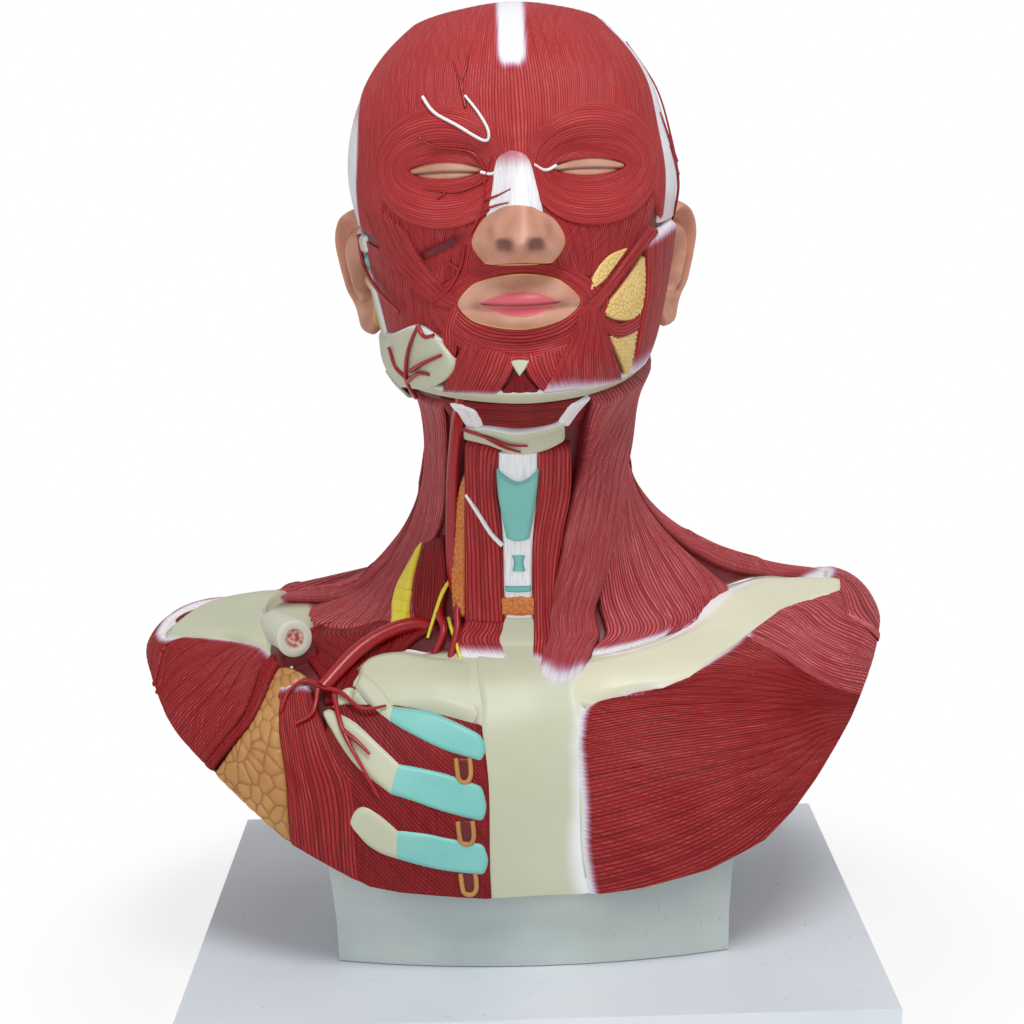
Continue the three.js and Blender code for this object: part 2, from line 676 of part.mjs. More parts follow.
pair("nose_wing_muscle", "paleMuscle", {
  guides: [
    front([-14, 408], [-20, 394], [-25, 378], [-27, 364]),
    front([-21, 398], [-27, 386], [-31, 374], [-33, 362]),
    front([-36, 388], [-38, 380], [-38, 370], [-36, 360]),
    front([-50, 388], [-50, 378], [-46, 366], [-40, 357]),
  ],
  thick: 2.6, rows: 5, columns: 5, onCore: true,
});

// Jaw, bared on the right

layer("jaw_branch_right", "bone", joined(
  band({
    guides: [
      through(rightSide([-30, 308], [-50, 308]), front([-58, 311], [-50, 313], [-36, 315])),
      through(rightSide([-30, 320], [-52, 320]), front([-62, 322], [-48, 324], [-31, 323])),
      through(rightSide([-34, 333], [-52, 333]), front([-63, 334], [-50, 340], [-38, 334])),
    ],
    thick: 5, rows: 7, columns: 4, ends: 0.5,
  }),
  band({
    guides: [
      rightSide([-42, 326], [-46, 348], [-50, 362]),
      rightSide([-64, 326], [-63, 346], [-60, 362]),
    ],
    thick: 4, base: 0.6, rows: 4, columns: 3,
  }),
));
layer("jaw_edge", "bone", band({
  guides: [
    through(
      rightSide([-26, 308]),
      front([-60, 307], [-41, 305.5], [-3, 305], [35, 306.5], [54, 310]),
      leftSide([-36, 311]),
    ),
    through(
      rightSide([-26, 314]),
      front([-62, 312], [-41, 311], [-3, 311.5], [35, 312], [56, 315]),
      leftSide([-36, 318]),
    ),
  ],
  thick: 3.4, rows: 10, columns: 2,
}));

// Scalp

layer("forehead_muscle_right", "paleMuscle", band({
  guides: [
    rightSide([-56, 412], [-58, 440], [-52, 464], [-42, 482]),
    front([-70, 418], [-71, 446], [-60, 467], [-44, 482]),
    front([-40, 426], [-44, 454], [-38, 472], [-26, 486]),
    front([-2, 421], [-2, 442], [-3, 464], [-3, 488]),
  ],
  thick: 3.2, rows: 5, columns: 6, ridge: 0.15, edge: 0.8,
}));
layer("forehead_muscle_left", "paleMuscle", band({
  guides: [
    front([0, 421], [0, 442], [-1, 464], [-1, 488]),
    front([38, 426], [40, 452], [34, 471], [22, 486]),
    front([66, 396], [66, 424], [61, 450], [52, 467], [38, 482]),
  ],
  thick: 3.2, rows: 5, columns: 5, ridge: 0.15, edge: 0.8,
}));
layer("back_scalp_muscle", "muscle", band({
  guides: [
    rightSide([30, 392], [34, 420], [30, 448]),
    behind([-52, 394], [-52, 422], [-46, 456]),
    behind([-24, 394], [-24, 422], [-22, 462]),
    behind([24, 394], [24, 422], [22, 462]),
    behind([52, 394], [52, 422], [46, 456]),
    leftSide([30, 392], [34, 420], [30, 448]),
  ],
  thick: 3, rows: 3, columns: 8, ridge: 0.2, overCrown: true,
}));
const templeGuides = [
  rightSide([-98, 384], [-97, 416], [-88, 450], [-54, 478]),
  rightSide([-45, 386], [-45, 422], [-45, 454], [-36, 482]),
  rightSide([16, 386], [20, 425], [16, 455], [-8, 482]),
];
const templeForm = { thick: 2, base: 0.7, rows: 5, columns: 5, edge: 0.85, ends: 0.9 };
layer("scalp_sheet", "fascia", joined(
  band({
    guides: [
      through(front([-46, 476]), crownTop([-56, -44], [-62, -28], [-54, 22]), behind([-40, 462])),
      through(front([-20, 484]), crownTop([-28, -46], [-31, -27], [-27, 24]), behind([-20, 460])),
      through(front([0, 486]), crownTop([0, -48], [0, -26], [0, 26]), behind([0, 458])),
      through(front([20, 484]), crownTop([28, -46], [31, -27], [27, 24]), behind([20, 460])),
      through(front([42, 476]), crownTop([52, -44], [57, -28], [51, 22]), behind([40, 462])),
    ],
    thick: 2.2, base: 0.7, rows: 10, columns: 6, overCrown: true, edge: 0.9, ends: 0.9,
  }),
  band({ ...templeForm, guides: templeGuides }),
  band({ ...templeForm, guides: templeGuides.map(mirrored) }),
));

// Throat

layer("hyoid_bone", "bone", band({
  guides: [
    front([-29, 282], [-18, 280], [-5, 275], [8, 277], [17, 282]),
    front([-29, 289], [-18, 291], [-5, 289], [8, 291], [17, 294]),
  ],
  thick: 7, rows: 7, columns: 3,
}));
layer("throat_shield", "cartilage", band({
  guides: [
    front([-14.5, 268], [-14, 252], [-11, 230]),
    front([-4.5, 261], [-5, 246], [-5.5, 229]),
    front([5, 268], [3.5, 252], [0, 230]),
  ],
  thick: 8, rows: 4, columns: 4, edge: 0.45,
}));
layer("gland_bridge", "gland", band({
  guides: [front([-14, 189], [-6, 188.5], [1, 189]), front([-14, 200], [-6, 201], [1, 200])],
  thick: 6.4, rows: 4, columns: 3,
}));
layer("gland_lobe_right", "gland", band({
  guides: [front([-38.5, 187], [-37, 224], [-31.5, 260]), front([-33, 187], [-31, 224], [-28.5, 260])],
  thick: 5.4, rows: 6, columns: 3,
}));
layer("throat_lining", "fascia", band({
  guides: [
    front([-12.5, 170], [-12.5, 212], [-13, 250], [-13, 274]),
    front([0, 170], [0, 212], [3, 250], [4, 274]),
  ],
  thick: 4.5, rows: 8, columns: 3,
}));
layer("throat_muscle_right", "muscle", band({
  guides: [
    front([-29, 281], [-30, 255], [-31, 229], [-33, 184], [-35, 168]),
    front([-21, 280], [-22, 255], [-22, 229], [-23, 184], [-24, 167]),
    front([-13, 277], [-14.5, 255], [-13.5, 229], [-13.5, 184], [-13.5, 167]),
  ],
  thick: 5.8, rows: 7, columns: 3, ridge: 0.2,
}));
layer("throat_muscle_left", "muscle", band({
  guides: [
    front([4, 277], [3.5, 253], [1.5, 229], [1, 200], [1, 168]),
    front([12, 278], [11, 253], [8, 229], [6, 200], [5, 166]),
    front([20, 279], [20, 254], [16, 231], [12, 200], [10, 168]),
  ],
  thick: 5.6, rows: 7, columns: 3, ridge: 0.2,
}));
layer("chin_floor_muscle", "darkMuscle", band({
  guides: [
    front([-36, 290], [-18, 290], [-4, 289], [11, 290], [26, 291]),
    front([-42, 304], [-22, 304], [-4, 304], [15, 304], [33, 305]),
  ],
  thick: 3.4, rows: 6, columns: 3,
}));

// Sides of the neck

layer("neck_strap_muscle_left", "paleMuscle", joined(
  band({
    guides: [
      front([29, 305], [25, 275], [20, 252], [14, 224], [8, 192], [3, 166]),
      through(leftSide([-38, 314]), front([36, 276], [31, 248], [27, 217], [21, 190], [11, 162])),
      through(leftSide([-10, 326], [-22, 292]), front([44, 254], [41, 232], [37, 210], [31, 186], [24, 164])),
    ],
    thick: 8.5, rows: 8, columns: 4, ridge: 0.2, edge: 0.45,
  }),
  band({
    guides: [
      front([38, 240], [35, 204], [28, 168]),
      front([43, 238], [43, 205], [40, 170]),
      front([46, 234], [52, 206], [57, 174]),
    ],
    thick: 5, base: 0.6, rows: 5, columns: 4, ridge: 0.2,
  }),
));
layer("arm_nerves", "nerve", band({
  guides: [
    front([-53, 223], [-64, 203], [-70, 190], [-73, 178]),
    front([-52, 223], [-57, 206], [-60, 191], [-64, 178]),
  ],
  thick: 5.5, rows: 6, columns: 3,
}));
layer("neck_side_muscle_right", "darkMuscle", band({
  guides: [
    front([-40, 298], [-40, 270], [-43, 238], [-52, 210], [-58, 182]),
    through(rightSide([-52, 300]), front([-48, 266], [-52, 236], [-62, 208], [-78, 182])),
    through(rightSide([-32, 302], [-28, 262], [-25, 232]), shoulderTop([-82, -24]), front([-98, 179])),
    through(rightSide([-12, 304], [-12, 262], [-12, 232]), shoulderTop([-88, -10], [-112, -16])),
  ],
  thick: 3.4, rows: 6, columns: 5, ridge: 0.25,
}));
layer("neck_side_muscle_left", "darkMuscle", band({
  guides: [
    front([43, 272], [42, 240], [41, 208], [41, 176]),
    through(leftSide([-32, 284]), front([50, 238], [60, 206], [62, 176])),
    through(leftSide([-24, 288], [-20, 244]), front([79, 206], [84, 182])),
    through(leftSide([-12, 290], [-12, 246]), shoulderTop([84, -18], [104, -32])),
  ],
  thick: 3.4, rows: 6, columns: 5, ridge: 0.25,
}));
pair("trapezius", "muscle", {
  guides: [
    through(
      behind([-5, 390]),
      rightSide([32, 345], [4, 296], [-6, 256], [-10, 230]),
      shoulderTop([-96, -12], [-140, -14], [-180, -10]),
    ),
    behind([-4, 366], [-28, 316], [-40, 284], [-50, 258], [-70, 228], [-104, 206], [-142, 192], [-180, 184]),
    behind([-3, 310], [-12, 272], [-20, 244], [-34, 222], [-60, 204], [-96, 192], [-132, 184], [-168, 180]),
    behind([-2, 120], [-14, 128], [-30, 138], [-50, 148], [-76, 158], [-102, 166], [-130, 172], [-154, 176]),
  ],
  thick: 3.6, base: 0.8, rows: 9, columns: 6, ridge: 0.2, edge: 0.8, ends: 0.8,
}, true);

// Chest and shoulders

layer("clavicle_left", "bone", band({
  guides: [
    front([8, 151], [42, 149], [70, 149], [84, 156], [96, 163], [110, 171], [140, 176], [168, 178]),
    through(
      front([8, 168], [33, 170], [57, 171], [74, 178], [88, 187]),
      shoulderTop([112, -22], [142, -10], [170, 0]),
    ),
  ],
  thick: 8.5, rows: 8, columns: 3, edge: 0.35, ends: 0.6,
}), true);
layer("shoulder_bone_right", "bone", band({
  guides: [
    front([-194, 168], [-171, 168], [-149, 169], [-122, 166]),
    through(front([-186, 178]), shoulderTop([-162, 4], [-140, 6], [-118, -2])),
  ],
  thick: 8, rows: 6, columns: 4, edge: 0.35, ends: 0.6,
}), true);
layer("breastbone", "bone", joined(
  band({
    guides: [
      front([-29, 168], [-31, 150], [-30, 118], [-30, 79], [-28, 54]),
      front([-14, 186], [-14, 152], [-14, 118], [-14, 79], [-12, 54]),
      front([1, 186], [2, 152], [3, 118], [4, 79], [6, 54]),
      front([14, 166], [24, 150], [24, 118], [24, 79], [27, 54]),
    ],
    thick: 4.6, rows: 5, columns: 3, ends: 1,
  }),
  band({
    guides: [
      front([-90, 158], [-78, 150], [-66, 148], [-50, 149], [-22, 143]),
      front([-84, 168], [-68, 171], [-52, 172], [-36, 172], [-22, 171]),
    ],
    thick: 4.6, base: 0.5, rows: 5, columns: 2,
  }),
), true);

// The ribs lie on the sheet of the rib gaps, which stays whole beneath them.
const ribForm = { base: 1.6, under: GAP, thick: 4.4, rows: 4, columns: 3, ends: 1 };
const ribGuides = {
  rib_cartilage_2: ["cartilage", [[-67, 143], [-51, 135], [-30, 128]], [[-67, 151], [-52, 149], [-30, 139]]],
  rib_cartilage_3: ["cartilage", [[-69, 114], [-51, 104], [-30, 98]], [[-69, 126], [-51, 124], [-30, 115]]],
  rib_cartilage_4: ["cartilage", [[-69, 80], [-53, 75], [-30, 73]], [[-68, 96], [-53, 93], [-30, 86]]],
  rib_bone_2: ["bone", [[-86, 155], [-78, 148], [-68, 143]], [[-84, 163], [-76, 158], [-68, 151]]],
  rib_bone_3: [
    "bone",
    [[-99, 146], [-94, 133], [-84, 121], [-70, 114]],
    [[-97, 152], [-88, 149], [-78, 138], [-70, 126]],
  ],
  rib_bone_4: ["bone", [[-92, 98], [-83, 86], [-70, 80]], [[-90, 107], [-80, 107], [-69, 97]]],
};
for (const [name, [colour, lower, upper]] of Object.entries(ribGuides)) {
  layer(name, colour, band({ ...ribForm, guides: [front(...lower), front(...upper)] }), true);
}
layer("shoulder_cap_right", "muscle", band({
  guides: [
    front([-131, 169], [-140, 147], [-152, 131], [-169, 108]),
    front([-150, 170], [-160, 150], [-171, 130], [-179, 106]),
    front([-171, 170], [-183, 152], [-190, 132], [-192, 106]),
    through(front([-191, 169]), rightSide([-45, 154], [-50, 130], [-52, 106])),
    through(shoulderTop([-188, 2]), rightSide([-4, 152], [-4, 104])),
    behind([-160, 180], [-184, 160], [-194, 108]),
  ],
  thick: 6, rows: 5, columns: 7, ridge: 0.25, edge: 0.6,
}), true);
layer("small_chest_muscle_right", "muscle", band({
  guides: [
    front([-126, 157], [-124, 128], [-122, 100], [-120, 66]),
    front([-119, 158], [-114, 130], [-108, 100], [-104, 58]),
    front([-112, 158], [-98, 133], [-90, 110], [-88, 58]),
  ],
  thick: 6, rows: 6, columns: 5, ridge: 0.25,
}), true);
layer("armpit_fat_right", "fat", band({
  guides: [
    front([-127, 164], [-137, 147], [-150, 130], [-164, 110], [-172, 96]),
    front([-120, 163], [-130, 141], [-139, 119], [-145, 100], [-148, 84]),
    front([-114, 161], [-123, 143], [-122, 118], [-121, 92], [-116, 74]),
  ],
  thick: 5.4, rows: 6, columns: 5,
}), true);
layer("chest_muscle_left", "muscle", band({
  guides: [
    front([26, 54], [70, 58], [118, 70], [156, 94], [184, 124]),
    front([24, 80], [70, 84], [118, 100], [154, 120], [182, 138]),
    front([24, 112], [68, 112], [112, 122], [148, 134], [176, 144]),
    front([24, 136], [60, 134], [104, 142], [140, 147], [168, 149]),
    front([28, 146], [56, 150], [86, 158], [108, 167], [130, 160], [164, 147]),
  ],
  thick: 6.4, rows: 7, columns: 7, ridge: 0.25, edge: 0.6,
}), true);
layer("shoulder_cap_left", "muscle", band({
  guides: [
    front([109, 170], [129, 161], [148, 151], [167, 139], [184, 123]),
    front([120, 175], [142, 166], [164, 154], [186, 136]),
    through(front([138, 179], [158, 173], [176, 161]), leftSide([-46, 140])),
    through(shoulderTop([160, -16]), leftSide([-38, 174], [-36, 156], [-34, 126])),
    through(shoulderTop([170, 2]), leftSide([-4, 176], [-4, 156], [-4, 120])),
    behind([148, 184], [166, 176], [176, 160], [180, 120]),
  ],
  thick: 6, rows: 5, columns: 7, ridge: 0.25, edge: 0.6,
}), true);
layer("rib_gap_muscle_right", "darkMuscle", band({
  guides: [
    front([-96, 58], [-96, 90], [-98, 116], [-96, 152]),
    front([-64, 58], [-64, 90], [-64, 120], [-64, 146]),
    front([-30, 58], [-30, 90], [-30, 120], [-30, 142]),
  ],
  thick: 3.6, rows: 4, columns: 2,
}), true);
layer("back_muscle", "darkMuscle", band({
  guides: [58, 94, 130, 164].map((z) => {
    return behind(...[-186, -140, -70, 0, 70, 120, 164].map((x) => [x, z + Math.abs(x) / 14]));
  }),
  thick: 3.2, rows: 10, columns: 4, ridge: 0.2, overCrown: true,
}), true);

// Foot, board and screws

const footSize = {
  x: -4, topHalf: 104, bottomHalf: 98.5, waist: 1.5, front: -97, bulge: 15, back: 62, over: 20,
};

function footSolid() {
  const { topHalf, bottomHalf, waist } = footSize;
  const low = DRAWN.board + GAP;
  const high = DRAWN.foot + footSize.over;
  const slices = 3;
  const frontSteps = 8;
  const outline = [[1, footSize.back], [-1, footSize.back]];
  for (let k = 0; k <= frontSteps; k++) {
    const across = (2 * k) / frontSteps - 1;
    outline.push([across, footSize.front - footSize.bulge * (1 - across * across)]);
  }
  const corners = outline.length;
  const points = [];
  for (let i = 0; i <= slices; i++) {
    const t = i / slices;
    const half = bottomHalf + (topHalf - bottomHalf) * t - waist * Math.sin(Math.PI * t);
    for (const [across, y] of outline) {
      points.push(new THREE.Vector3(footSize.x + half * across, y, low + (high - low) * t));
    }
  }
  const bottom = points.push(new THREE.Vector3(footSize.x, 0, low)) - 1;
  const top = points.push(new THREE.Vector3(footSize.x, 0, high)) - 1;
  const triangles = [];
  const at = (i, k) => i * corners + (k % corners);
  for (let k = 0; k < corners; k++) {
    for (let i = 0; i < slices; i++) {
      triangles.push([at(i, k), at(i, k + 1), at(i + 1, k + 1)], [at(i, k), at(i + 1, k + 1), at(i + 1, k)]);
    }
    triangles.push([at(0, k + 1), at(0, k), bottom], [at(slices, k), at(slices, k + 1), top]);
  }
  return solidFrom(points, triangles);
}

// Assembly

const group = new THREE.Group();

function addMesh(name, colour, solid) {
  const { vertProperties, triVerts, numProp } = solid.getMesh();
  const places = new Float32Array((vertProperties.length / numProp) * 3);
  for (let i = 0; i < places.length / 3; i++) {
    places.set(vertProperties.subarray(i * numProp, i * numProp + 3), i * 3);
  }
  const geometry = new THREE.BufferGeometry();
  geometry.setAttribute("position", new THREE.BufferAttribute(places, 3));
  geometry.setIndex(new THREE.BufferAttribute(new Uint32Array(triVerts), 1));
  geometry.computeVertexNormals();
  const material = new THREE.MeshStandardMaterial({
    color: colours[colour],
    roughness: rough[colour] ?? 0.45,
    metalness: 0,
    flatShading: true,
  });
  const mesh = new THREE.Mesh(geometry, material);
  mesh.name = name;
  group.add(mesh);
}

const boxesMeet = (a, b) => [0, 1, 2].every((k) => a.min[k] < b.max[k] && b.min[k] < a.max[k]);
const near = (a, b) => boxesMeet(a.boundingBox(), b.boundingBox());
const overlap = (a, b) => near(a, b) && a.intersect(b).volume() > TOUCH;

const bust = bustSolid();
addMesh("bust_casting", "fascia", bust);
const shield = shieldPrism(TRIM);
const rooms = [wholeSkin((climb) => seatAt(climb) - GAP, SKIN_COLUMNS, outerRows)];
const placed = [bust];
for (const { name, colour, make, torso } of layers) {
  let solid = make(0);
  if (torso) solid = solid.intersect(shield);
  for (const room of rooms) {
    if (near(solid, room)) solid = solid.subtract(room);
  }
  // Twisted walls can still touch where a thick band turns a tight corner.
  for (const other of placed) {
    if (overlap(solid, other)) solid = solid.subtract(other);
  }
  solid = largestBody(solid);
  const lighter = FACET_TOLERANCES.map((tolerance) => largestBody(solid.asOriginal().simplify(tolerance)));
  solid = lighter.find((body) => !placed.some((other) => overlap(body, other))) ?? solid;
  addMesh(name, colour, solid);
  placed.push(solid);
  rooms.push(make(GAP));
}

const screwSize = { shank: 2.5, head: 5, headDepth: 3, start: 0.5, end: 46, apart: 110, sides: 12 };

// A countersunk screw driven up through the board into the foot. Grown, it is the hole for itself.
function screwSolid(x, grow) {
  const { shank, head, headDepth, start, end } = screwSize;
  const low = grow > 0 ? -1 : start;
  const profile = [
    [0, low], [head + grow, low], [head + grow, start], [shank + grow, start + headDepth],
    [shank + grow, end + grow], [0, end + grow],
  ];
  const outline = profile.map(([r, y]) => new THREE.Vector2(r, y));
  const geometry = new THREE.LatheGeometry(outline, screwSize.sides);
  geometry.rotateX(Math.PI / 2);
  geometry.translate(x, 0, 0);
  return solidOfGeometry(geometry, asMade);
}

let board = boxSolid(BOARD_WIDTH, BOARD_DEPTH, BOARD_THICKNESS, 0, 0, BOARD_THICKNESS / 2, asMade);
let foot = footSolid().subtract(rooms[0].intersect(shieldPrism(-GAP)));
for (const [side, word] of [[-1, "right"], [1, "left"]]) {
  const x = (side * screwSize.apart) / 2;
  const hole = screwSolid(x, GAP);
  board = board.subtract(hole);
  foot = foot.subtract(hole);
  addMesh("foot_screw_" + word, "steel", screwSolid(x, 0));
}
addMesh("base_board", "board", board);
addMesh("foot", "paint", foot);

export default group;
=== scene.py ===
"""The finish of the muscle bust: its painted relief, laid on one surface of the whole body, and the studio.

Guides and heights are in millimetres in the frame of the CAD model, and meshes are in metres.
"left" and "right" are the figure's own: its left side is +X.
"""

import math

import bpy
import numpy as np
from mathutils import Matrix, Vector


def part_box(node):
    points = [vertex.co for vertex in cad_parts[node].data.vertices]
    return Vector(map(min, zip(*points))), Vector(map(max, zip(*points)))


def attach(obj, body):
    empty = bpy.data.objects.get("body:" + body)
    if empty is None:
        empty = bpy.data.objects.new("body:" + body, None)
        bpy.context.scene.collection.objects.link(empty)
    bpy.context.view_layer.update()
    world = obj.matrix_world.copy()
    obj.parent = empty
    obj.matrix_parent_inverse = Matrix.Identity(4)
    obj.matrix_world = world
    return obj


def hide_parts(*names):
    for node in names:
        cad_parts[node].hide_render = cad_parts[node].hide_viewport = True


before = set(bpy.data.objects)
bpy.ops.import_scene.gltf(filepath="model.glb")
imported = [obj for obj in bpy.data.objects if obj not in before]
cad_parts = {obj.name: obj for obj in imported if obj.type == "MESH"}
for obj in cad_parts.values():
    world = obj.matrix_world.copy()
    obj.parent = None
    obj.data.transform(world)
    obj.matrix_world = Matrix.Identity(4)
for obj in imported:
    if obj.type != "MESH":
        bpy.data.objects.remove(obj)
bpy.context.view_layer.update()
bpy.ops.object.select_all(action="DESELECT")

MM = 0.001

# The casting's corners as the guides below draw it; the frame's own casting sets the real size.
DRAWN_LOW = np.array([-197.47, -139.17, 59.0])
DRAWN_HIGH = np.array([176.51, 85.57, 490.2])
REAL_LOW, REAL_HIGH = (np.array(corner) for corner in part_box("bust_casting"))
STRETCH = (REAL_HIGH - REAL_LOW) / (DRAWN_HIGH - DRAWN_LOW)


def to_real(points):
    return REAL_LOW + (points - DRAWN_LOW) * STRETCH


# Small helpers


def smooth_step(start, end, value):
    t = np.clip((value - start) / (end - start), 0, 1)
    return t * t * (3 - 2 * t)


def signed_power(value, power):
    return np.sign(value) * np.abs(value) ** power


def spline(rows, places, closed=False):
    """A smooth curve through rows: place 0 is the first row, 1 the second, and so on."""
    rows = np.asarray(rows, float)
    count = len(rows)
    last = count if closed else count - 1
    at = np.clip(np.asarray(places, float), 0, last - 1e-9)
    first = np.floor(at).astype(int)
    t = (at - first).reshape(at.shape + (1,) * (rows.ndim - 1))
    wrap = (lambda k: k % count) if closed else (lambda k: np.clip(k, 0, count - 1))
    a, b, c, d = (rows[wrap(first + k)] for k in (-1, 0, 1, 2))
    linear = (c - a) * t
    square = (2 * a - 5 * b + 4 * c - d) * t**2
    cube = (3 * b - a - 3 * c + d) * t**3
    return 0.5 * (2 * b + linear + square + cube)


def ripples(across, along, seed, waves=7):
    """Soft seeded noise from -1 to 1, with features about one unit across."""
    random = np.random.default_rng(seed)
    total = 0
    for _ in range(waves):
        tilt = random.uniform(0, 2 * math.pi)
        speed = random.uniform(0.6, 2.2)
        phase = random.uniform(0, 2 * math.pi)
        total = total + np.sin(speed * (across * math.cos(tilt) + along * math.sin(tilt)) + phase)
    return total / waves**0.5 / 1.6


# The body's surface: rings stacked from the chest to the crown.
# Each ring: z at the front, right side, left side and back, half width right and left,
# y of its middle, depth in front and behind, squareness in front and behind.

RINGS = np.array([
    [30, 30, 30, 30, 145, 145, -15, 96, 88, 2.6, 2.6],
    [60, 58, 58, 56, 170, 163, -15, 107, 96, 2.6, 2.6],
    [100, 96, 96, 92, 190, 176, -15, 108, 102, 2.5, 2.5],
    [136, 132, 134, 132, 201, 180, -15, 100, 104, 2.4, 2.4],
    [156, 156, 162, 166, 201, 180, -12, 89, 98, 2.2, 2.3],
    [165, 170, 178, 186, 195, 176, -10, 79, 88, 2.0, 2.2],
    [171, 179, 187, 202, 175, 163, -8, 71, 78, 1.9, 2.1],
    [176, 183, 193, 215, 142, 132, -8, 67, 68, 1.9, 2.0],
    [182, 187, 202, 227, 98, 99, -9, 64, 58, 1.9, 2.0],
    [191, 200, 215, 240, 76, 74, -12, 60, 50, 1.9, 2.0],
    [207, 224, 235, 257, 60, 57, -17, 57, 45, 2.0, 2.0],
    [232, 250, 256, 274, 52, 50, -20, 57, 43, 2.0, 2.0],
    [262, 276, 278, 294, 50, 48, -22, 59, 45, 2.1, 2.0],
    [285, 299, 299, 313, 53, 51, -26, 67, 51, 2.0, 2.0],
    [303, 314, 314, 330, 62, 57, -33, 88, 64, 1.8, 2.0],
    [309, 325, 325, 345, 67, 62, -35, 98, 74, 1.8, 2.0],
    [321, 339, 339, 360, 70, 66, -36, 100, 82, 1.85, 2.0],
    [345, 358, 358, 376, 74, 70, -36, 97, 89, 1.95, 2.05],
    [372, 382, 382, 394, 79, 74, -36, 92, 94, 2.1, 2.1],
    [404, 408, 408, 412, 84, 77, -35, 89.5, 97, 2.25, 2.1],
    [430, 432, 432, 430, 81.5, 71.5, -34, 88, 97, 2.3, 2.1],
    [455, 453, 453, 446, 73, 64.5, -33, 80, 93, 2.2, 2.1],
    [474, 471, 471, 464, 59, 52, -31, 63, 79, 2.1, 2.1],
    [487, 485, 485, 479, 38, 35, -28, 40, 52, 2.1, 2.1],
    [491.5, 491.5, 491.5, 491.5, 0, 0, -26, 0, 0, 2.0, 2.0],
])
CROWN = len(RINGS) - 1

# Behind the ridge of the shoulders the surface dips: how deep, at which ring, and over how many rings.
SHOULDER_DIP = {"depth": 30, "climb": 6.8, "reach": 1.3}

# Rounded swellings on the front: middle x and z, reach in x and z, height.
SIDE_SWELLINGS = [
    (32, 414, 19, 12, -7),
    (32, 414, 12.5, 8, 5),
    (28, 431, 21, 7, 3),
    (50, 390, 15, 12, 4),
    (38, 364, 13, 14, -3),
    (88, 112, 60, 36, 5),
]
MIDDLE_SWELLINGS = [
    (0, 349, 27, 17, 4),
    (0, 317, 16, 10, 5),
    (0, 331, 18, 5, -3),
    (0, 258, 13, 22, 4),
    (0, 110, 22, 60, -4),
]
LIPS = [(0, 352.5, 19, 4.2, 3.2), (0, 342.5, 16, 4.6, 4), (0, 347.8, 24, 1.5, -2.2)]
NOSE_WINGS = [(14, 374, 6.5, 6.5, 6)]
NOSE = {"root": 424, "tip": 379, "lip": 366, "root_rise": 4, "rise": 24, "wing": 16.5, "bridge": 8}
# The relief of the front fades out where the surface faces less than this share forward.
FRONT_SHARE = 0.45


def swell(places, x, z):
    total = 0
    for middle_x, middle_z, reach_x, reach_z, height in places:
        far = ((x - middle_x) / reach_x) ** 2 + ((z - middle_z) / reach_z) ** 2
        total = total + height * np.exp(-far)
    return total


def nose_rise(x, z):
    down = np.clip((NOSE["root"] - z) / (NOSE["root"] - NOSE["tip"]), 0, 1)
    ridge = NOSE["root_rise"] + (NOSE["rise"] - NOSE["root_rise"]) * down**1.2
    under = smooth_step(NOSE["lip"] - 4, NOSE["lip"] + 13, z)
    brow = 1 - smooth_step(NOSE["root"] - 4, NOSE["root"] + 10, z)
    width = NOSE["bridge"] + (NOSE["wing"] - NOSE["bridge"]) * down
    side_fall = np.exp(-1.15 * (np.abs(x) / width) ** 2.2)
    return ridge * under * brow * side_fall + swell(NOSE_WINGS, np.abs(x), z)


def surface(turn, climb, relief=2):
    """Points of the surface. turn 0 is the front and a quarter turn the left side; climb counts the rings.
    Relief 0 is the bare rings, 1 adds the broad swellings, and 2 the nose and lips as well."""
    ring = np.moveaxis(spline(RINGS, climb), -1, 0)
    front_z, right_z, left_z, back_z, half_right, half_left = ring[:6]
    middle, fore, aft, square_fore, square_aft = ring[6:]
    c = np.cos(turn)
    s = np.sin(turn)
    square = np.where(c > 0, square_fore, square_aft)
    x = np.maximum(0, np.where(s > 0, half_left, half_right)) * signed_power(s, 2 / square)
    y = middle - np.maximum(0, np.where(c > 0, fore, aft)) * signed_power(c, 2 / square)
    side = (right_z + left_z) / 2
    tilt = (front_z - back_z) / 2 * c
    sag = ((front_z + back_z) / 4 - side / 2) * np.cos(2 * turn)
    z = (front_z + back_z) / 4 + side / 2 + tilt + sag + (left_z - right_z) / 2 * s**3
    nearness = np.exp(-(((climb - SHOULDER_DIP["climb"]) / SHOULDER_DIP["reach"]) ** 2))
    z = z - SHOULDER_DIP["depth"] * nearness * np.where(c < 0, np.sin(2 * turn) ** 2, 0)
    if relief > 0:
        rise = swell(SIDE_SWELLINGS, np.abs(x), z) + swell(MIDDLE_SWELLINGS, x, z)
        if relief == 2:
            rise = rise + swell(LIPS, x, z) + nose_rise(x, z)
        y = y - rise * smooth_step(0, FRONT_SHARE, c)
    return np.stack([x, y, z], -1)


# The small step that measures how the surface runs at a place
NUDGE = 1e-3


def outward(turn, climb):
    """The direction out of the bare rings, which turns more gently than the relief does."""
    around = surface(turn + NUDGE, climb, 0) - surface(turn - NUDGE, climb, 0)
    upward = surface(turn, climb + NUDGE, 0) - surface(turn, climb - NUDGE, 0)
    out = np.cross(around, upward)
    out[np.asarray(climb) > CROWN - 0.03] = (0, 0, 1)
    return out / np.maximum(np.linalg.norm(out, axis=-1, keepdims=True), 1e-12)


# Places on the surface, given by two real coordinates in one view

TURN_STEP = math.pi / 60
CLIMB_STEP = 0.2
SEEK_TURN, SEEK_CLIMB = (
    lattice.ravel()
    for lattice in np.meshgrid(
        np.arange(-math.pi, math.pi, TURN_STEP), np.arange(CLIMB_STEP, CROWN, CLIMB_STEP)
    )
)
SEEK_POINTS = surface(SEEK_TURN, SEEK_CLIMB, 0)
X, Y, Z = 0, 1, 2

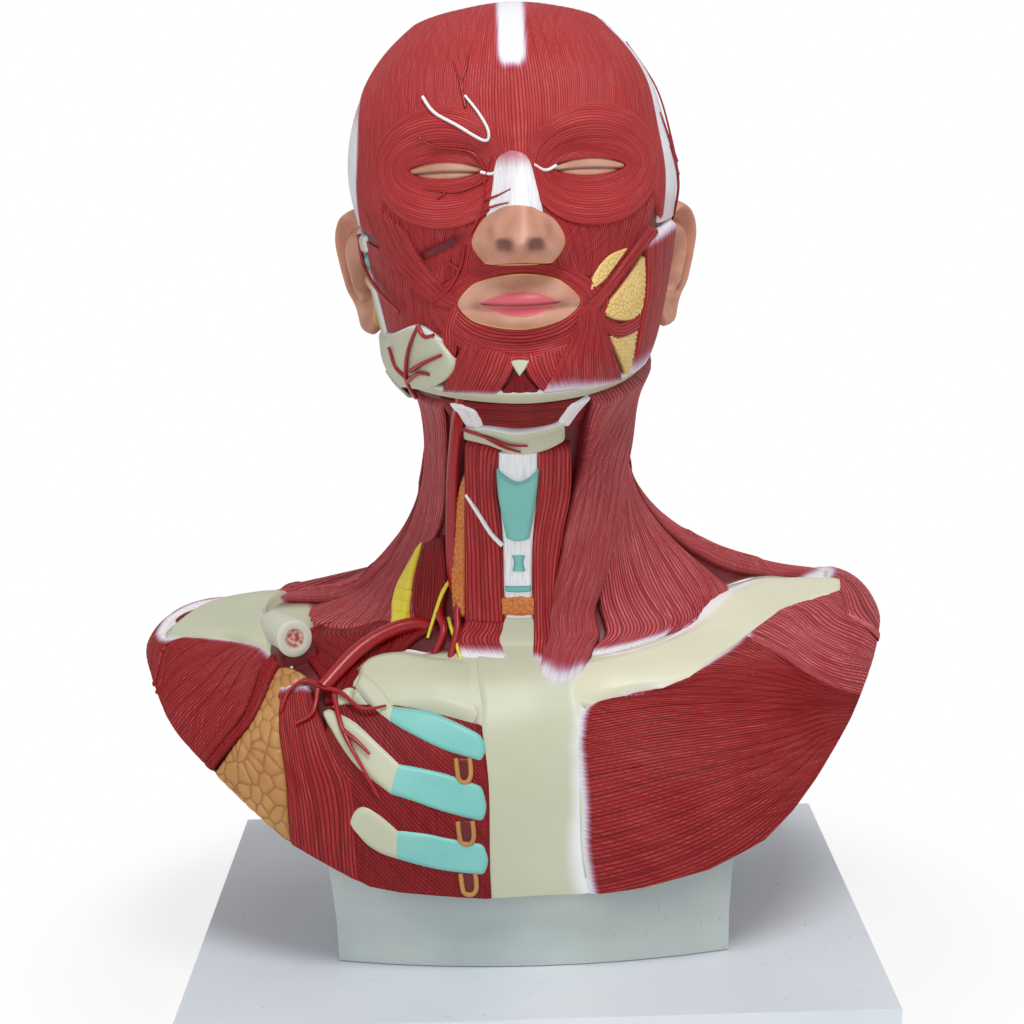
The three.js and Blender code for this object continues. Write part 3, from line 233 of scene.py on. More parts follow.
# From the nearest of those points a place is found in a few tries, none of which moves further than this.
# Places keep this far off the ends of the surface.
END_CLIMB = 0.01
TRIES = 20
LONGEST_TURN = 0.08
LONGEST_CLIMB = 0.3


def find_places(allowed, axes, targets):
    """(turn, climb) of the surface points whose two named coordinates are the targets."""
    targets = np.array(targets, float)
    known = np.flatnonzero(allowed)
    far = np.linalg.norm(SEEK_POINTS[known][None, :, axes] - targets[:, None, :], axis=-1)
    best = known[far.argmin(1)]
    turn, climb = SEEK_TURN[best].copy(), SEEK_CLIMB[best].copy()
    per_nudge = 1 / NUDGE
    for _ in range(TRIES):
        here = surface(turn, climb, 0)
        miss = targets - here[:, axes]
        by_turn = (surface(turn + NUDGE, climb, 0) - here)[:, axes] * per_nudge
        by_climb = (surface(turn, climb + NUDGE, 0) - here)[:, axes] * per_nudge
        scale = by_turn[:, 0] * by_climb[:, 1] - by_turn[:, 1] * by_climb[:, 0]
        usable = np.abs(scale) >= 1
        scale = np.where(usable, scale, 1)
        turn_move = (by_climb[:, 1] * miss[:, 0] - by_climb[:, 0] * miss[:, 1]) / scale
        climb_move = (by_turn[:, 0] * miss[:, 1] - by_turn[:, 1] * miss[:, 0]) / scale
        turn = turn + np.where(usable, np.clip(turn_move, -LONGEST_TURN, LONGEST_TURN), 0)
        climb = climb + np.where(usable, np.clip(climb_move, -LONGEST_CLIMB, LONGEST_CLIMB), 0)
        climb = np.clip(climb, END_CLIMB, CROWN - END_CLIMB)
    ended = np.linalg.norm(surface(turn, climb, 0)[:, axes] - targets, axis=-1)
    better = ended < far.min(1)
    turn = np.where(better, turn, SEEK_TURN[best])
    climb = np.where(better, climb, SEEK_CLIMB[best])
    return [tuple(place) for place in np.stack([turn, climb], -1)]


def front(*points):
    return find_places(np.cos(SEEK_TURN) > -0.05, [X, Z], points)


def behind(*points):
    return find_places(np.cos(SEEK_TURN) < 0.05, [X, Z], points)


def left_side(*points):
    return find_places(np.sin(SEEK_TURN) > 0.05, [Y, Z], points)


def right_side(*points):
    return find_places(np.sin(SEEK_TURN) < -0.05, [Y, Z], points)


def shoulder_top(*points):
    return find_places((SEEK_CLIMB > 4.5) & (SEEK_CLIMB < 11), [X, Y], points)


def crown_top(*points):
    return find_places(SEEK_CLIMB > 20, [X, Y], points)


def mirrored(guides):
    return [[(-turn, climb) for turn, climb in guide] for guide in guides]


# Materials: each is a recipe of nodes that reads the piece's own map and painted attributes

COAT_ROUGHNESS = 0.25
SCREEN_GAMMA = 2.2


class Recipe:
    """One procedural material, put together node by node."""

    def __init__(self, name):
        self.material = bpy.data.materials.new(name)
        self.material.use_nodes = True
        self.tree = self.material.node_tree
        self.shader = self.tree.nodes["Principled BSDF"]

    def add(self, kind, **settings):
        node = self.tree.nodes.new("ShaderNode" + kind)
        for key, value in settings.items():
            setattr(node, key, value)
        return node

    def wire(self, source, target):
        self.tree.links.new(source, target)

    def attribute(self, name):
        return self.add("Attribute", attribute_name=name).outputs["Fac"]

    def place(self, scale, along_fibres=False):
        """The object's place in metres, or the piece's map in centimetres, times one scale or three."""
        if along_fibres:
            source = self.add("UVMap", uv_map="UVMap").outputs["UV"]
        else:
            source = self.add("TexCoord").outputs["Object"]
        mapping = self.add("Mapping")
        mapping.inputs["Scale"].default_value = scale if isinstance(scale, tuple) else (scale,) * 3
        self.wire(source, mapping.inputs["Vector"])
        return mapping.outputs["Vector"]

    def noise(self, scale, detail=2.0, along_fibres=False):
        node = self.add("TexNoise")
        node.inputs["Scale"].default_value = 1.0
        node.inputs["Detail"].default_value = detail
        self.wire(self.place(scale, along_fibres), node.inputs["Vector"])
        return node.outputs["Fac"]

    def number(self, operation, *values):
        node = self.add("Math", operation=operation)
        for socket, value in zip(node.inputs, values):
            if isinstance(value, (int, float)):
                socket.default_value = value
            else:
                self.wire(value, socket)
        return node.outputs[0]

    def span(self, value, low, high, to_low=0.0, to_high=1.0):
        node = self.add("MapRange", interpolation_type="SMOOTHSTEP")
        node.inputs["From Min"].default_value = low
        node.inputs["From Max"].default_value = high
        node.inputs["To Min"].default_value = to_low
        node.inputs["To Max"].default_value = to_high
        self.wire(value, node.inputs["Value"])
        return node.outputs["Result"]

    def mix(self, factor, first, second):
        node = self.add("Mix", data_type="RGBA")
        for socket, value in ((node.inputs[0], factor), (node.inputs[6], first), (node.inputs[7], second)):
            if isinstance(value, (int, float, tuple)):
                socket.default_value = value
            else:
                self.wire(value, socket)
        return node.outputs[2]

    def shaded(self, colour, dark, amount):
        """The colour, darkened by that amount where the piece's shade is painted."""
        return self.mix(self.number("MULTIPLY", self.attribute("shade"), amount), colour, dark)

    def finish(self, colour, roughness, height, bump=0.3, depth=0.0003, coat=0.0):
        """Wires the colour, the roughness and a fine bump of that depth in metres into the shader."""
        self.wire(colour, self.shader.inputs["Base Color"])
        if isinstance(roughness, float):
            self.shader.inputs["Roughness"].default_value = roughness
        else:
            self.wire(roughness, self.shader.inputs["Roughness"])
        self.shader.inputs["Coat Weight"].default_value = coat
        self.shader.inputs["Coat Roughness"].default_value = COAT_ROUGHNESS
        node = self.add("Bump")
        node.inputs["Strength"].default_value = bump
        node.inputs["Distance"].default_value = depth
        self.wire(height, node.inputs["Height"])
        self.wire(node.outputs["Normal"], self.shader.inputs["Normal"])
        return self.material


def tone(red, green, blue):
    """A colour as a screen shows it, from 0 to 255, turned into light."""
    return tuple((value / 255) ** SCREEN_GAMMA for value in (red, green, blue)) + (1.0,)


WHITE_FADE = tone(240, 240, 245)
LILAC = tone(206, 172, 204)


def muscle_paint(name, deep, body, light):
    """Satin paint over fibres, with painted shade in the grooves and on shaded edges, painted highlights on
    the lit crests, and a fade to white at tendons.
    """
    recipe = Recipe(name)
    swing = recipe.number("SINE", recipe.number("MULTIPLY", recipe.attribute("strand"), math.pi))
    strand = recipe.number("POWER", recipe.number("ABSOLUTE", swing), 0.6)
    streaks = recipe.noise((11, 0.5, 1), 3.0, along_fibres=True)
    long_streaks = recipe.noise((3.5, 0.14, 1), 2.0, along_fibres=True)
    blotches = recipe.noise(38, 3.0)
    # Painted light on the fibres: shade in the grooves between strands and between bundles, and highlights
    # on the lit crests of the strands
    lit = recipe.number("MULTIPLY", recipe.span(streaks, 0.42, 0.72), recipe.span(strand, 0.6, 1.0))
    colour = recipe.mix(recipe.span(strand, 0.2, 0.85), deep, body)
    colour = recipe.mix(recipe.number("MULTIPLY", lit, 0.7), colour, light)
    colour = recipe.mix(recipe.span(recipe.attribute("crest"), 0.75, 0.0, 0.0, 0.85), colour, deep)
    colour = recipe.mix(recipe.span(long_streaks, 0.5, 0.8, 0.0, 0.3), colour, deep)
    colour = recipe.mix(recipe.span(blotches, 0.4, 0.8, 0.0, 0.15), colour, light)
    colour = recipe.shaded(colour, deep, 0.8)
    ragged = recipe.number("MULTIPLY", recipe.number("SUBTRACT", streaks, 0.5), 0.45)
    fade = recipe.number("ADD", recipe.attribute("fade"), ragged)
    colour = recipe.mix(recipe.span(fade, 0.15, 0.7, 0.0, 0.65), colour, LILAC)
    colour = recipe.mix(recipe.span(fade, 0.4, 0.95), colour, WHITE_FADE)
    rough = recipe.span(blotches, 0.2, 0.8, 0.42, 0.54)
    recipe.shader.inputs["Specular IOR Level"].default_value = 0.22
    return recipe.finish(colour, rough, strand, bump=0.5, depth=0.0004)


def bone_paint(name, middle, rim, spots):
    """Satin cream paint that turns white towards the muscles, with a faint grain, and darker where painted
    shade is laid.
    """
    recipe = Recipe(name)
    grain = recipe.noise(220, 4.0)
    clouds = recipe.noise(22, 3.0)
    colour = recipe.mix(recipe.span(clouds, 0.3, 0.75, 0.0, 0.5), middle, spots)
    edge = recipe.number("ADD", recipe.attribute("fade"), recipe.span(clouds, 0.3, 0.7, -0.2, 0.2))
    colour = recipe.mix(recipe.span(edge, 0.15, 0.85), colour, rim)
    colour = recipe.shaded(colour, tone(150, 140, 130), 0.5)
    return recipe.finish(colour, 0.42, grain, bump=0.12, depth=0.0002)


def cut_bone_paint(name):
    """A pale sawn rim round a spongy middle, red in its pores."""
    recipe = Recipe(name)
    pores = recipe.noise(520, 2.0)
    sponge = recipe.mix(recipe.span(pores, 0.42, 0.6), tone(150, 66, 62), tone(206, 160, 144))
    colour = recipe.mix(recipe.attribute("tint"), tone(198, 198, 182), sponge)
    colour = recipe.mix(recipe.span(recipe.attribute("fade"), 0.7, 1.0), colour, tone(208, 208, 196))
    return recipe.finish(colour, 0.5, pores, bump=0.3, depth=0.0004)


def plain_paint(name, body, dark, light, rough=0.4, coat=0.0, bump=0.15):
    """One paint with soft clouds, darkened by painted shade in its grooves and where its shade layer is
    painted.
    """
    recipe = Recipe(name)
    grain = recipe.noise(260, 3.0)
    clouds = recipe.noise(45, 3.0)
    colour = recipe.mix(recipe.span(clouds, 0.3, 0.75, 0.0, 0.55), body, light)
    colour = recipe.mix(recipe.span(recipe.attribute("crest"), 0.7, 0.0, 0.0, 0.8), colour, dark)
    colour = recipe.shaded(colour, dark, 0.7)
    return recipe.finish(colour, rough, grain, bump=bump, depth=0.0002, coat=coat)


def skin_paint(name):
    """Tan skin paint with pores, painted shade in its hollows such as the nostrils, a pink tint mostly on
    the lips, and a pale yellow cut edge.
    """
    recipe = Recipe(name)
    pores = recipe.noise(900, 2.0)
    clouds = recipe.noise(60, 4.0)
    colour = recipe.mix(recipe.span(clouds, 0.3, 0.7), tone(190, 132, 108), tone(208, 156, 132))
    colour = recipe.shaded(colour, tone(96, 52, 48), 0.85)
    colour = recipe.mix(recipe.attribute("tint"), colour, tone(205, 92, 104))
    colour = recipe.mix(recipe.span(recipe.attribute("fade"), 0.35, 0.6), colour, tone(232, 192, 112))
    return recipe.finish(colour, 0.46, pores, bump=0.12, depth=0.0002)


def fibrous_paint(name):
    """White fascia with faint fibres and a bluish or pink cast, red where it is shaded."""
    recipe = Recipe(name)
    streaks = recipe.noise((9, 0.6, 1), 3.0, along_fibres=True)
    clouds = recipe.noise(30, 3.0)
    colour = recipe.mix(recipe.span(streaks, 0.42, 0.75), tone(243, 244, 246), tone(212, 214, 228))
    colour = recipe.mix(recipe.span(clouds, 0.5, 0.85, 0.0, 0.5), colour, tone(226, 214, 226))
    colour = recipe.mix(recipe.attribute("shade"), colour, tone(182, 84, 100))
    return recipe.finish(colour, 0.42, streaks, bump=0.25, depth=0.0003)


def casting_paint():
    """The casting under the relief: dark flesh, and cream where bones lie over it."""
    recipe = Recipe("casting_paint")
    streaks = recipe.noise((60, 60, 14), 3.0)
    clouds = recipe.noise(24, 3.0)
    flesh = recipe.mix(recipe.span(streaks, 0.35, 0.7), tone(84, 14, 20), tone(118, 30, 34))
    cream = recipe.mix(recipe.span(clouds, 0.3, 0.75), tone(189, 192, 166), tone(202, 204, 181))
    colour = recipe.mix(recipe.attribute("tint"), flesh, cream)
    return recipe.finish(colour, 0.46, streaks, bump=0.3, depth=0.0004)


def foot_paint():
    """Pale grey-green paint with darker specks."""
    recipe = Recipe("foot_paint")
    grain = recipe.noise(300, 3.0)
    clouds = recipe.noise((9, 9, 16), 3.0)
    specks = recipe.noise(420, 0.0)
    colour = recipe.mix(recipe.span(clouds, 0.3, 0.7), tone(172, 186, 186), tone(200, 211, 206))
    colour = recipe.mix(recipe.span(specks, 0.8, 0.86, 0.0, 0.35), colour, tone(120, 130, 132))
    return recipe.finish(colour, 0.5, grain, bump=0.12, depth=0.0003)


def board_paint():
    """Pale blue-white paint with a few specks, under a thin coat."""
    recipe = Recipe("board_paint")
    grain = recipe.noise(160, 4.0)
    clouds = recipe.noise(6, 3.0)
    specks = recipe.noise(300, 0.0)
    colour = recipe.mix(recipe.span(clouds, 0.3, 0.7), tone(214, 222, 232), tone(228, 233, 240))
    colour = recipe.mix(recipe.span(specks, 0.82, 0.87, 0.0, 0.3), colour, tone(150, 152, 160))
    return recipe.finish(colour, 0.36, grain, bump=0.06, depth=0.0002, coat=0.15)


def steel_finish():
    """Brushed steel for the foot's screws."""
    recipe = Recipe("screw_steel")
    brushed = recipe.noise((40, 1600, 40), 3.0)
    colour = recipe.mix(brushed, tone(150, 152, 156), tone(190, 192, 196))
    recipe.shader.inputs["Metallic"].default_value = 1.0
    return recipe.finish(colour, 0.32, brushed, bump=0.1, depth=0.0001)


# Muscle paints: the name in the slot, and the colours of the painted shade in the grooves, of the strands,
# and of the painted highlights on the lit crests
MUSCLE_COLOURS = {
    "muscle": ("muscle", (100, 12, 18), (168, 46, 50), (204, 92, 92)),
    "pale_muscle": ("pale_muscle", (120, 14, 20), (180, 50, 54), (214, 104, 104)),
    "dark_muscle": ("dark_muscle", (70, 4, 10), (132, 22, 28), (164, 50, 52)),
    "forehead": ("pale_muscle", (142, 30, 34), (176, 54, 56), (200, 92, 92)),
    "neck_muscle": ("pale_muscle", (92, 14, 20), (176, 68, 74), (218, 128, 130)),
    "chest_muscle": ("muscle", (88, 8, 12), (148, 34, 38), (188, 76, 76)),
}
# Bone paints: the colours of the middle, the rim and the clouds
BONE_COLOURS = {
    "bone": ("bone", (189, 192, 166), (232, 236, 238), (202, 204, 181)),
    "collar_bone": ("bone", (214, 212, 187), (246, 246, 249), (228, 227, 204)),
}
# Plain paints: the colours of the body, of the painted shade in the grooves and shaded places, and of the
# clouds
PLAIN_COLOURS = {
    "deep_red": ("artery", (96, 12, 18), (60, 4, 10), (116, 22, 26)),
    "white_nerve": ("nerve", (240, 240, 244), (196, 180, 190), (246, 246, 248)),
    "cartilage": ("cartilage", (118, 192, 184), (84, 150, 146), (138, 202, 196)),
    "fat": ("fat", (176, 124, 68), (132, 84, 42), (196, 150, 92)),
    "pale_fat": ("fat", (232, 198, 118), (196, 146, 74), (240, 214, 150)),
    "nerve": ("nerve", (226, 208, 48), (182, 158, 30), (238, 224, 96)),
    "artery": ("artery", (148, 14, 26), (90, 4, 14), (176, 34, 42)),
    "gland": ("gland", (206, 118, 52), (148, 66, 30), (216, 142, 78)),
}
LUMPY = {"bump": 0.3}
PAINT_FINISH = {
    "fat": LUMPY,
    "pale_fat": LUMPY,
    "gland": LUMPY,
    "nerve": {"rough": 0.36},
    "artery": {"rough": 0.3, "coat": 0.15},
}
PAINTS = {
    "cut_bone": (cut_bone_paint("cut_bone_paint"), "bone"),
    "fascia": (fibrous_paint("fascia_paint"), "fascia"),
    "skin": (skin_paint("skin_paint"), "skin"),
    "casting": (casting_paint(), "fascia"),
    "foot": (foot_paint(), "foot_paint"),
    "board": (board_paint(), "board"),
    "steel": (steel_finish(), "screw_steel"),
}
for mix_paint, table in (
    (muscle_paint, MUSCLE_COLOURS), (bone_paint, BONE_COLOURS), (plain_paint, PLAIN_COLOURS),
):
    for paint, (slot_name, *colours) in table.items():
        tones = [tone(*colour) for colour in colours]
        PAINTS[paint] = (mix_paint(paint + "_paint", *tones, **PAINT_FINISH.get(paint, {})), slot_name)


# Sheets of relief


def rounded(distance, reach):
    """A quarter round that climbs from 0 at an edge to 1 at its reach."""
    if reach <= 0:
        return np.ones_like(distance)
    t = np.clip(distance / reach, 0, 1)
    return np.sqrt(1 - (1 - t) ** 2)


def soft_rise(distance, reach):
    """A gentle climb from 0 at an edge to 1 at its reach, for bones that flow into each other."""
    return smooth_step(0, reach, distance) if reach > 0 else np.ones_like(distance)


def running_length(points, axis):
    """How far each point of a net lies from its line's start."""
    steps = np.linalg.norm(np.diff(points, axis=axis), axis=-1)
    start = np.zeros_like(np.take(steps, [0], axis=axis))
    return np.concatenate([start, np.cumsum(steps, axis=axis)], axis=axis)


# Grains: from a net's share across, its lengths across and along in millimetres, and a pattern's size, seed
# and slant, each gives the pattern's height, how much a point is a crest, and the count of strands there.

# Halfway over a strand, for grains that have none
MID_STRAND = 0.5
# The jittered middles of the lobes repeat after this many cells each way.
LOBE_CELLS = 64
STRANDS_IN_BUNDLE = 5
# How strands sway, bundles sway and strands thicken: how quickly from strand to strand,
# and over how many millimetres along them
SWAY = (0.3, 34)
BUNDLE_SWAY = (0.1, 60)
THICKENING = (0.2, 22)


def fibres(share, across, along, size, seed, slant):
    """Strands with sharp grooves between them, gathered in wider bundles."""
    count = across.max() / size

    def uneven(change, shift=0):
        return ripples(share * count * change[0], along / change[1], seed + shift)

    phase = share * count + slant * along / size
    phase = phase + 0.55 * uneven(SWAY)
    strand = np.abs(np.sin(math.pi * phase)) ** 0.55
    bundle_phase = phase / STRANDS_IN_BUNDLE + 0.2 * uneven(BUNDLE_SWAY, 1)
    bundle = np.abs(np.sin(math.pi * bundle_phase)) ** 0.4
    weight = 0.7 + 0.3 * uneven(THICKENING, 2)
    height = 0.6 * weight * (strand - 1) + 0.9 * (bundle - 1)
    return height, np.clip(0.8 * bundle + 0.3 * weight - 0.1, 0, 1), phase


def lobes(share, across, along, size, seed, slant):
    """Rounded cells pressed against each other, as fat and glands have."""
    u = across / size
    v = along / size
    random = np.random.default_rng(seed)
    jitter = random.uniform(0.04, 0.96, (LOBE_CELLS, LOBE_CELLS, 2))
    nearest = np.full(u.shape, 9.0)
    second = np.full(u.shape, 9.0)
    for shift_u in (-1, 0, 1):
        for shift_v in (-1, 0, 1):
            cell_u = np.floor(u).astype(int) + shift_u
            cell_v = np.floor(v).astype(int) + shift_v
            middle = jitter[cell_u % LOBE_CELLS, cell_v % LOBE_CELLS]
            far = np.hypot(cell_u + middle[..., 0] - u, cell_v + middle[..., 1] - v)
            second = np.minimum(second, np.maximum(far, nearest))
            nearest = np.minimum(nearest, far)
    bump = np.clip((second - nearest) * 2.2, 0, 1) ** 0.6
    return bump - 1, bump, np.full(bump.shape, MID_STRAND)


def smooth_form(share, across, along, size, seed, slant):
    """A moulded surface that is only faintly uneven."""
    wave = ripples(across / size, along / size, seed)
    return 0.5 * wave - 0.5, np.full(across.shape, 0.9), np.full(across.shape, MID_STRAND)


def lattice_of(guides, along, across, closed, over_crown):
    """(turn, climb) on a net that runs along the guides and across from one to the next."""
    lines = [np.array(guide, float) for guide in guides]
    if over_crown:
        lines = [
            np.stack([(CROWN - g[:, 1]) * np.sin(g[:, 0]), (CROWN - g[:, 1]) * np.cos(g[:, 0])], -1)
            for g in lines
        ]
    reach = [len(line) if closed else len(line) - 1 for line in lines]
    through = np.array([spline(line, along * end, closed) for line, end in zip(lines, reach)])
    net = np.moveaxis(spline(through, across * (len(lines) - 1)), 0, 1)
    if over_crown:
        turn = np.arctan2(net[..., 0], net[..., 1])
        return turn, CROWN - np.hypot(net[..., 0], net[..., 1])
    return net[..., 0], net[..., 1]


def set_attribute(mesh, name, values):
    layer = mesh.attributes.new(name, "FLOAT", "POINT")
    layer.data.foreach_set("value", np.ascontiguousarray(values, np.float32).ravel())


# Points closer than this, in metres, are one.
WELD = 1e-6


def grid_piece(name, columns, rows):
    """A flat grid of that many faces each way, to be laid on the surface."""
    bpy.ops.object.select_all(action="DESELECT")
    bpy.ops.mesh.primitive_grid_add(x_subdivisions=columns, y_subdivisions=rows, size=1)
    piece = bpy.context.object
    piece.name = name
    piece.data.name = name
    return piece


def edit(piece, *steps):
    """Runs edit-mode operators on all of a piece."""
    bpy.context.view_layer.objects.active = piece
    bpy.ops.object.mode_set(mode="EDIT")
    bpy.ops.mesh.select_all(action="SELECT")
    for step in steps:
        step()
    bpy.ops.object.mode_set(mode="OBJECT")


def apply_modifier(piece, kind, **settings):
    modifier = piece.modifiers.new(kind.title(), kind)
    for key, value in settings.items():
        setattr(modifier, key, value)
    bpy.context.view_layer.objects.active = piece
    bpy.ops.object.modifier_apply(modifier=modifier.name)


def dress(piece, paint, nodes=()):
    """Gives a finished piece its paint, its place on the frame and the CAD nodes that it stands for."""
    material, slot_name = PAINTS[paint]
    piece.data.materials.clear()
    piece.data.materials.append(material)
    if isinstance(nodes, str):
        nodes = [nodes]
    if nodes:
        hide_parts(*nodes)
    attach(piece, "root")
    return piece


# The outline to which the torso is cut, from the right shoulder down round the chest to the left one
SHIELD = [
    (-207, 520), (-207, 165), (-201, 155), (-187, 140), (-178, 127), (-166, 114), (-149, 101), (-125, 88),
    (-109, 75), (-96, 68), (-69, 63), (-25, 59), (24, 60), (50, 63), (83, 70), (111, 82), (126, 95),
    (138, 108), (159, 133), (176, 157), (184, 171), (186, 181), (186, 520),
]


def cut_to_shield(piece, fill=False):
    """Cuts a piece with each side of the shield outline that it crosses."""
    points = np.empty(len(piece.data.vertices) * 3)
    piece.data.vertices.foreach_get("co", points)
    points = points.reshape(-1, 3)
    cuts = []
    for (x0, z0), (x1, z1) in zip(SHIELD, SHIELD[1:]):
        corner = to_real(np.array([x0, 0.0, z0]))
        other = to_real(np.array([x1, 0.0, z1]))
        side = other - corner
        normal = np.array([-side[2], 0, side[0]]) / np.hypot(side[0], side[2])
        if ((points - corner) @ normal).min() < 0:
            cuts.append((corner, normal))

    def bisect(corner, normal):
        bpy.ops.mesh.select_all(action="SELECT")
        bpy.ops.mesh.bisect(
            plane_co=corner, plane_no=normal, use_fill=fill, clear_inner=True, clear_outer=False,
            threshold=WELD,
        )

    edit(piece, *[lambda c=corner, n=normal: bisect(c, n) for corner, normal in cuts])
    return len(cuts) > 0


# A sheet's thickness, and how far its edge is sunk into the head or neck, and into the torso
WALL = 0.9
SKIRT = 2.0
TORSO_SKIRT = 4.0
# How far the cut edge of a sheet is turned in, in metres, the middle that it turns to,
# and how much of the way it takes sideways
CUT_EDGE = {"depth": 0.007, "middle_y": -0.015, "sideways": 0.35}
# A net has at least so many faces each way. A rough one, of so many lines along and across, measures it.
FEWEST_FACES = 6
ROUGH_NET = (17, 13)
# A piece's map is in centimetres.
MM_IN_MAP = 10


def net_over(guides, fine, step, closed, over_crown):
    """turn, climb and share across of a net whose faces, of about fine by step millimetres, face out."""
    rough_along, rough_across = (np.linspace(0, 1, count) for count in ROUGH_NET)
    rough = surface(*lattice_of(guides, rough_along, rough_across, closed, over_crown))
    columns = max(FEWEST_FACES, round(running_length(rough, 1)[:, -1].max() / fine))
    rows = max(FEWEST_FACES, round(running_length(rough, 0)[-1].mean() / step))
    across = np.linspace(0, 1, columns + 1)
    turn, climb = lattice_of(guides, np.linspace(0, 1, rows + 1), across, closed, over_crown)
    share = np.broadcast_to(across, turn.shape)
    bare = surface(turn, climb, 0)
    faces = np.cross(np.diff(bare, axis=1)[:-1], np.diff(bare, axis=0)[:, :-1])
    if (faces * outward(turn, climb)[:-1, :-1]).sum() < 0:
        return turn[:, ::-1], climb[:, ::-1], share[:, ::-1]
    return turn, climb, share


def with_skirt(values, closed):
    """Repeats a net's outermost lines once more, for the skirt that runs down into the body."""
    sides = ((0, 0) if closed else (1, 1), (1, 1)) + ((0, 0),) * (values.ndim - 2)
    return np.pad(values, sides, mode="edge")


def lay_sheet(
    name, paint, guides, nodes=(), base=0.4, thick=4.0, roll=3.5, tips=(0, 0), grain=fibres, size=2.2,
    depth=0.35, slant=0.0, fade=(0, 0, 0, 0), shade=1.0, closed=False, over_crown=False, torso=False,
    fine=0.4, step=3.0, seed=1, rise=rounded, painter=None,
):
    """A sheet of relief whose guides run along its fibres, from one edge to the other. Lengths are in mm.
    base and thick: its height over the surface at its edges and on top.
    roll and tips: how far its long edges, and its start and end, slope down.
    grain, size, depth and slant: the pattern on it, how wide and deep that is, and how it leans.
    fade: how far the start, the end, the first and the last edge fade to white; shade: the width of the
    painted shade along its long edges.
    fine and step: the size of its faces across and along; rise: how its edges climb.
    painter: a function that finishes its points and its painted layers."""
    turn, climb, share = net_over(guides, fine, step, closed, over_crown)
    skin = surface(turn, climb)
    out = outward(turn, climb)
    from_low = running_length(skin, 1)
    to_high = from_low[:, -1:] - from_low
    first, last = (from_low, to_high) if share[0, 0] < share[0, -1] else (to_high, from_low)
    start = running_length(skin, 0)
    end = start[-1:] - start
    roll_first, roll_last = roll if isinstance(roll, tuple) else (roll, roll)
    shape = rise(first, roll_first) * rise(last, roll_last)
    if not closed:
        shape = shape * rise(start, tips[0]) * rise(end, tips[1])
    relief, crest, strand = grain(share, from_low, start, size, seed, slant)
    breadth = from_low[:, -1:]
    crowded = np.clip(2.5 * breadth / breadth.max(), 0.2, 1)
    height = base + (thick - base + depth * relief * crowded) * shape
    points = skin + out * height[..., None]
    # Muscle and plain paints lay painted shade where crest and strand are low, in the grooves, and muscle
    # paints lay painted highlights on the crests
    layers = {"crest": crest, "strand": strand}
    for layer_name in ("fade", "tint"):
        layers[layer_name] = np.zeros(share.shape)
    for distance, reach in zip((start, end, first, last), fade):
        if reach > 0:
            layers["fade"] = np.maximum(layers["fade"], 1 - np.clip(distance / reach, 0, 1))
    # Painted shade along both long edges
    layers["shade"] = 1 - smooth_step(0, shade, np.minimum(first, last)) if shade else np.zeros(share.shape)
    if painter is not None:
        painter(points, layers)
    centred = from_low - from_low[:, -1:] / 2
    maps = with_skirt(np.stack([centred, start], -1) / MM_IN_MAP, closed)
    points = with_skirt(points, closed)
    sunk = with_skirt(skin - out * (TORSO_SKIRT if torso else SKIRT), closed)
    points[:, [0, -1]] = sunk[:, [0, -1]]
    if not closed:
        points[[0, -1]] = sunk[[0, -1]]
    piece = grid_piece(name, points.shape[1] - 1, points.shape[0] - 1)
    mesh = piece.data
    mesh.vertices.foreach_set("co", to_real(points.reshape(-1, 3)).ravel())
    set_map(mesh, maps)
    for layer_name, values in layers.items():
        set_attribute(mesh, layer_name, with_skirt(values, closed))
    mesh.update()
    if closed:
        edit(piece, lambda: bpy.ops.mesh.remove_doubles(threshold=WELD))
    if torso and cut_to_shield(piece):
        close_cut_edge(piece)
    apply_modifier(piece, "SOLIDIFY", thickness=WALL * MM, offset=-1, use_rim=True)
    smooth(piece)
    return dress(piece, paint, nodes)


def lay_moulding(name, paint, guides, nodes=(), **form):
    """A smooth sheet: a bone, a cartilage or a skin patch."""
    usual = {"grain": smooth_form, "depth": 0.3, "shade": 0.8}
    return lay_sheet(name, paint, guides, nodes, **{**usual, **form})


def lay_lobes(name, paint, guides, nodes=(), **form):
    """A lumpy sheet: fat, a gland or a cut edge."""
    usual = {"grain": lobes, "depth": 0.5, "shade": 0.6, "step": 0.5}
    return lay_sheet(name, paint, guides, nodes, **{**usual, **form})


def set_map(mesh, maps):
    """Writes the map of a net, given point by point, into the mesh's corners."""
    corners = np.empty(len(mesh.loops), np.int32)
    mesh.loops.foreach_get("vertex_index", corners)
    layer = mesh.uv_layers[0]
    layer.name = "UVMap"
    layer.data.foreach_set("uv", maps.reshape(-1, 2)[corners].astype(np.float32).ravel())


def smooth(piece, angle=70):
    """Shades a piece smoothly, but for edges sharper than that angle."""
    bpy.ops.object.select_all(action="DESELECT")
    piece.select_set(True)
    bpy.context.view_layer.objects.active = piece
    bpy.ops.object.shade_smooth_by_angle(angle=math.radians(angle))
    piece.select_set(False)


def close_cut_edge(piece):
    """Turns the edge of a cut sheet inwards, so that it meets the casting."""
    bpy.context.view_layer.objects.active = piece
    bpy.ops.object.mode_set(mode="EDIT")
    bpy.ops.mesh.select_mode(type="EDGE")
    bpy.ops.mesh.select_all(action="DESELECT")
    bpy.ops.mesh.select_non_manifold(
        extend=False, use_wire=False, use_boundary=True, use_multi_face=False, use_non_contiguous=False,
        use_verts=False,
    )
    bpy.ops.mesh.extrude_edges_move(MESH_OT_extrude_edges_indiv={"use_normal_flip": False})
    bpy.ops.object.mode_set(mode="OBJECT")
    for vertex in piece.data.vertices:
        if vertex.select:
            sideways = -vertex.co.x * CUT_EDGE["sideways"]
            inward = Vector((sideways, CUT_EDGE["middle_y"] - vertex.co.y, 0))
            vertex.co += inward.normalized() * CUT_EDGE["depth"]
    edit(piece, lambda: bpy.ops.mesh.normals_make_consistent(inside=False))


# The length of a tube's straight pieces, in millimetres
VESSEL_STEP = 1.6


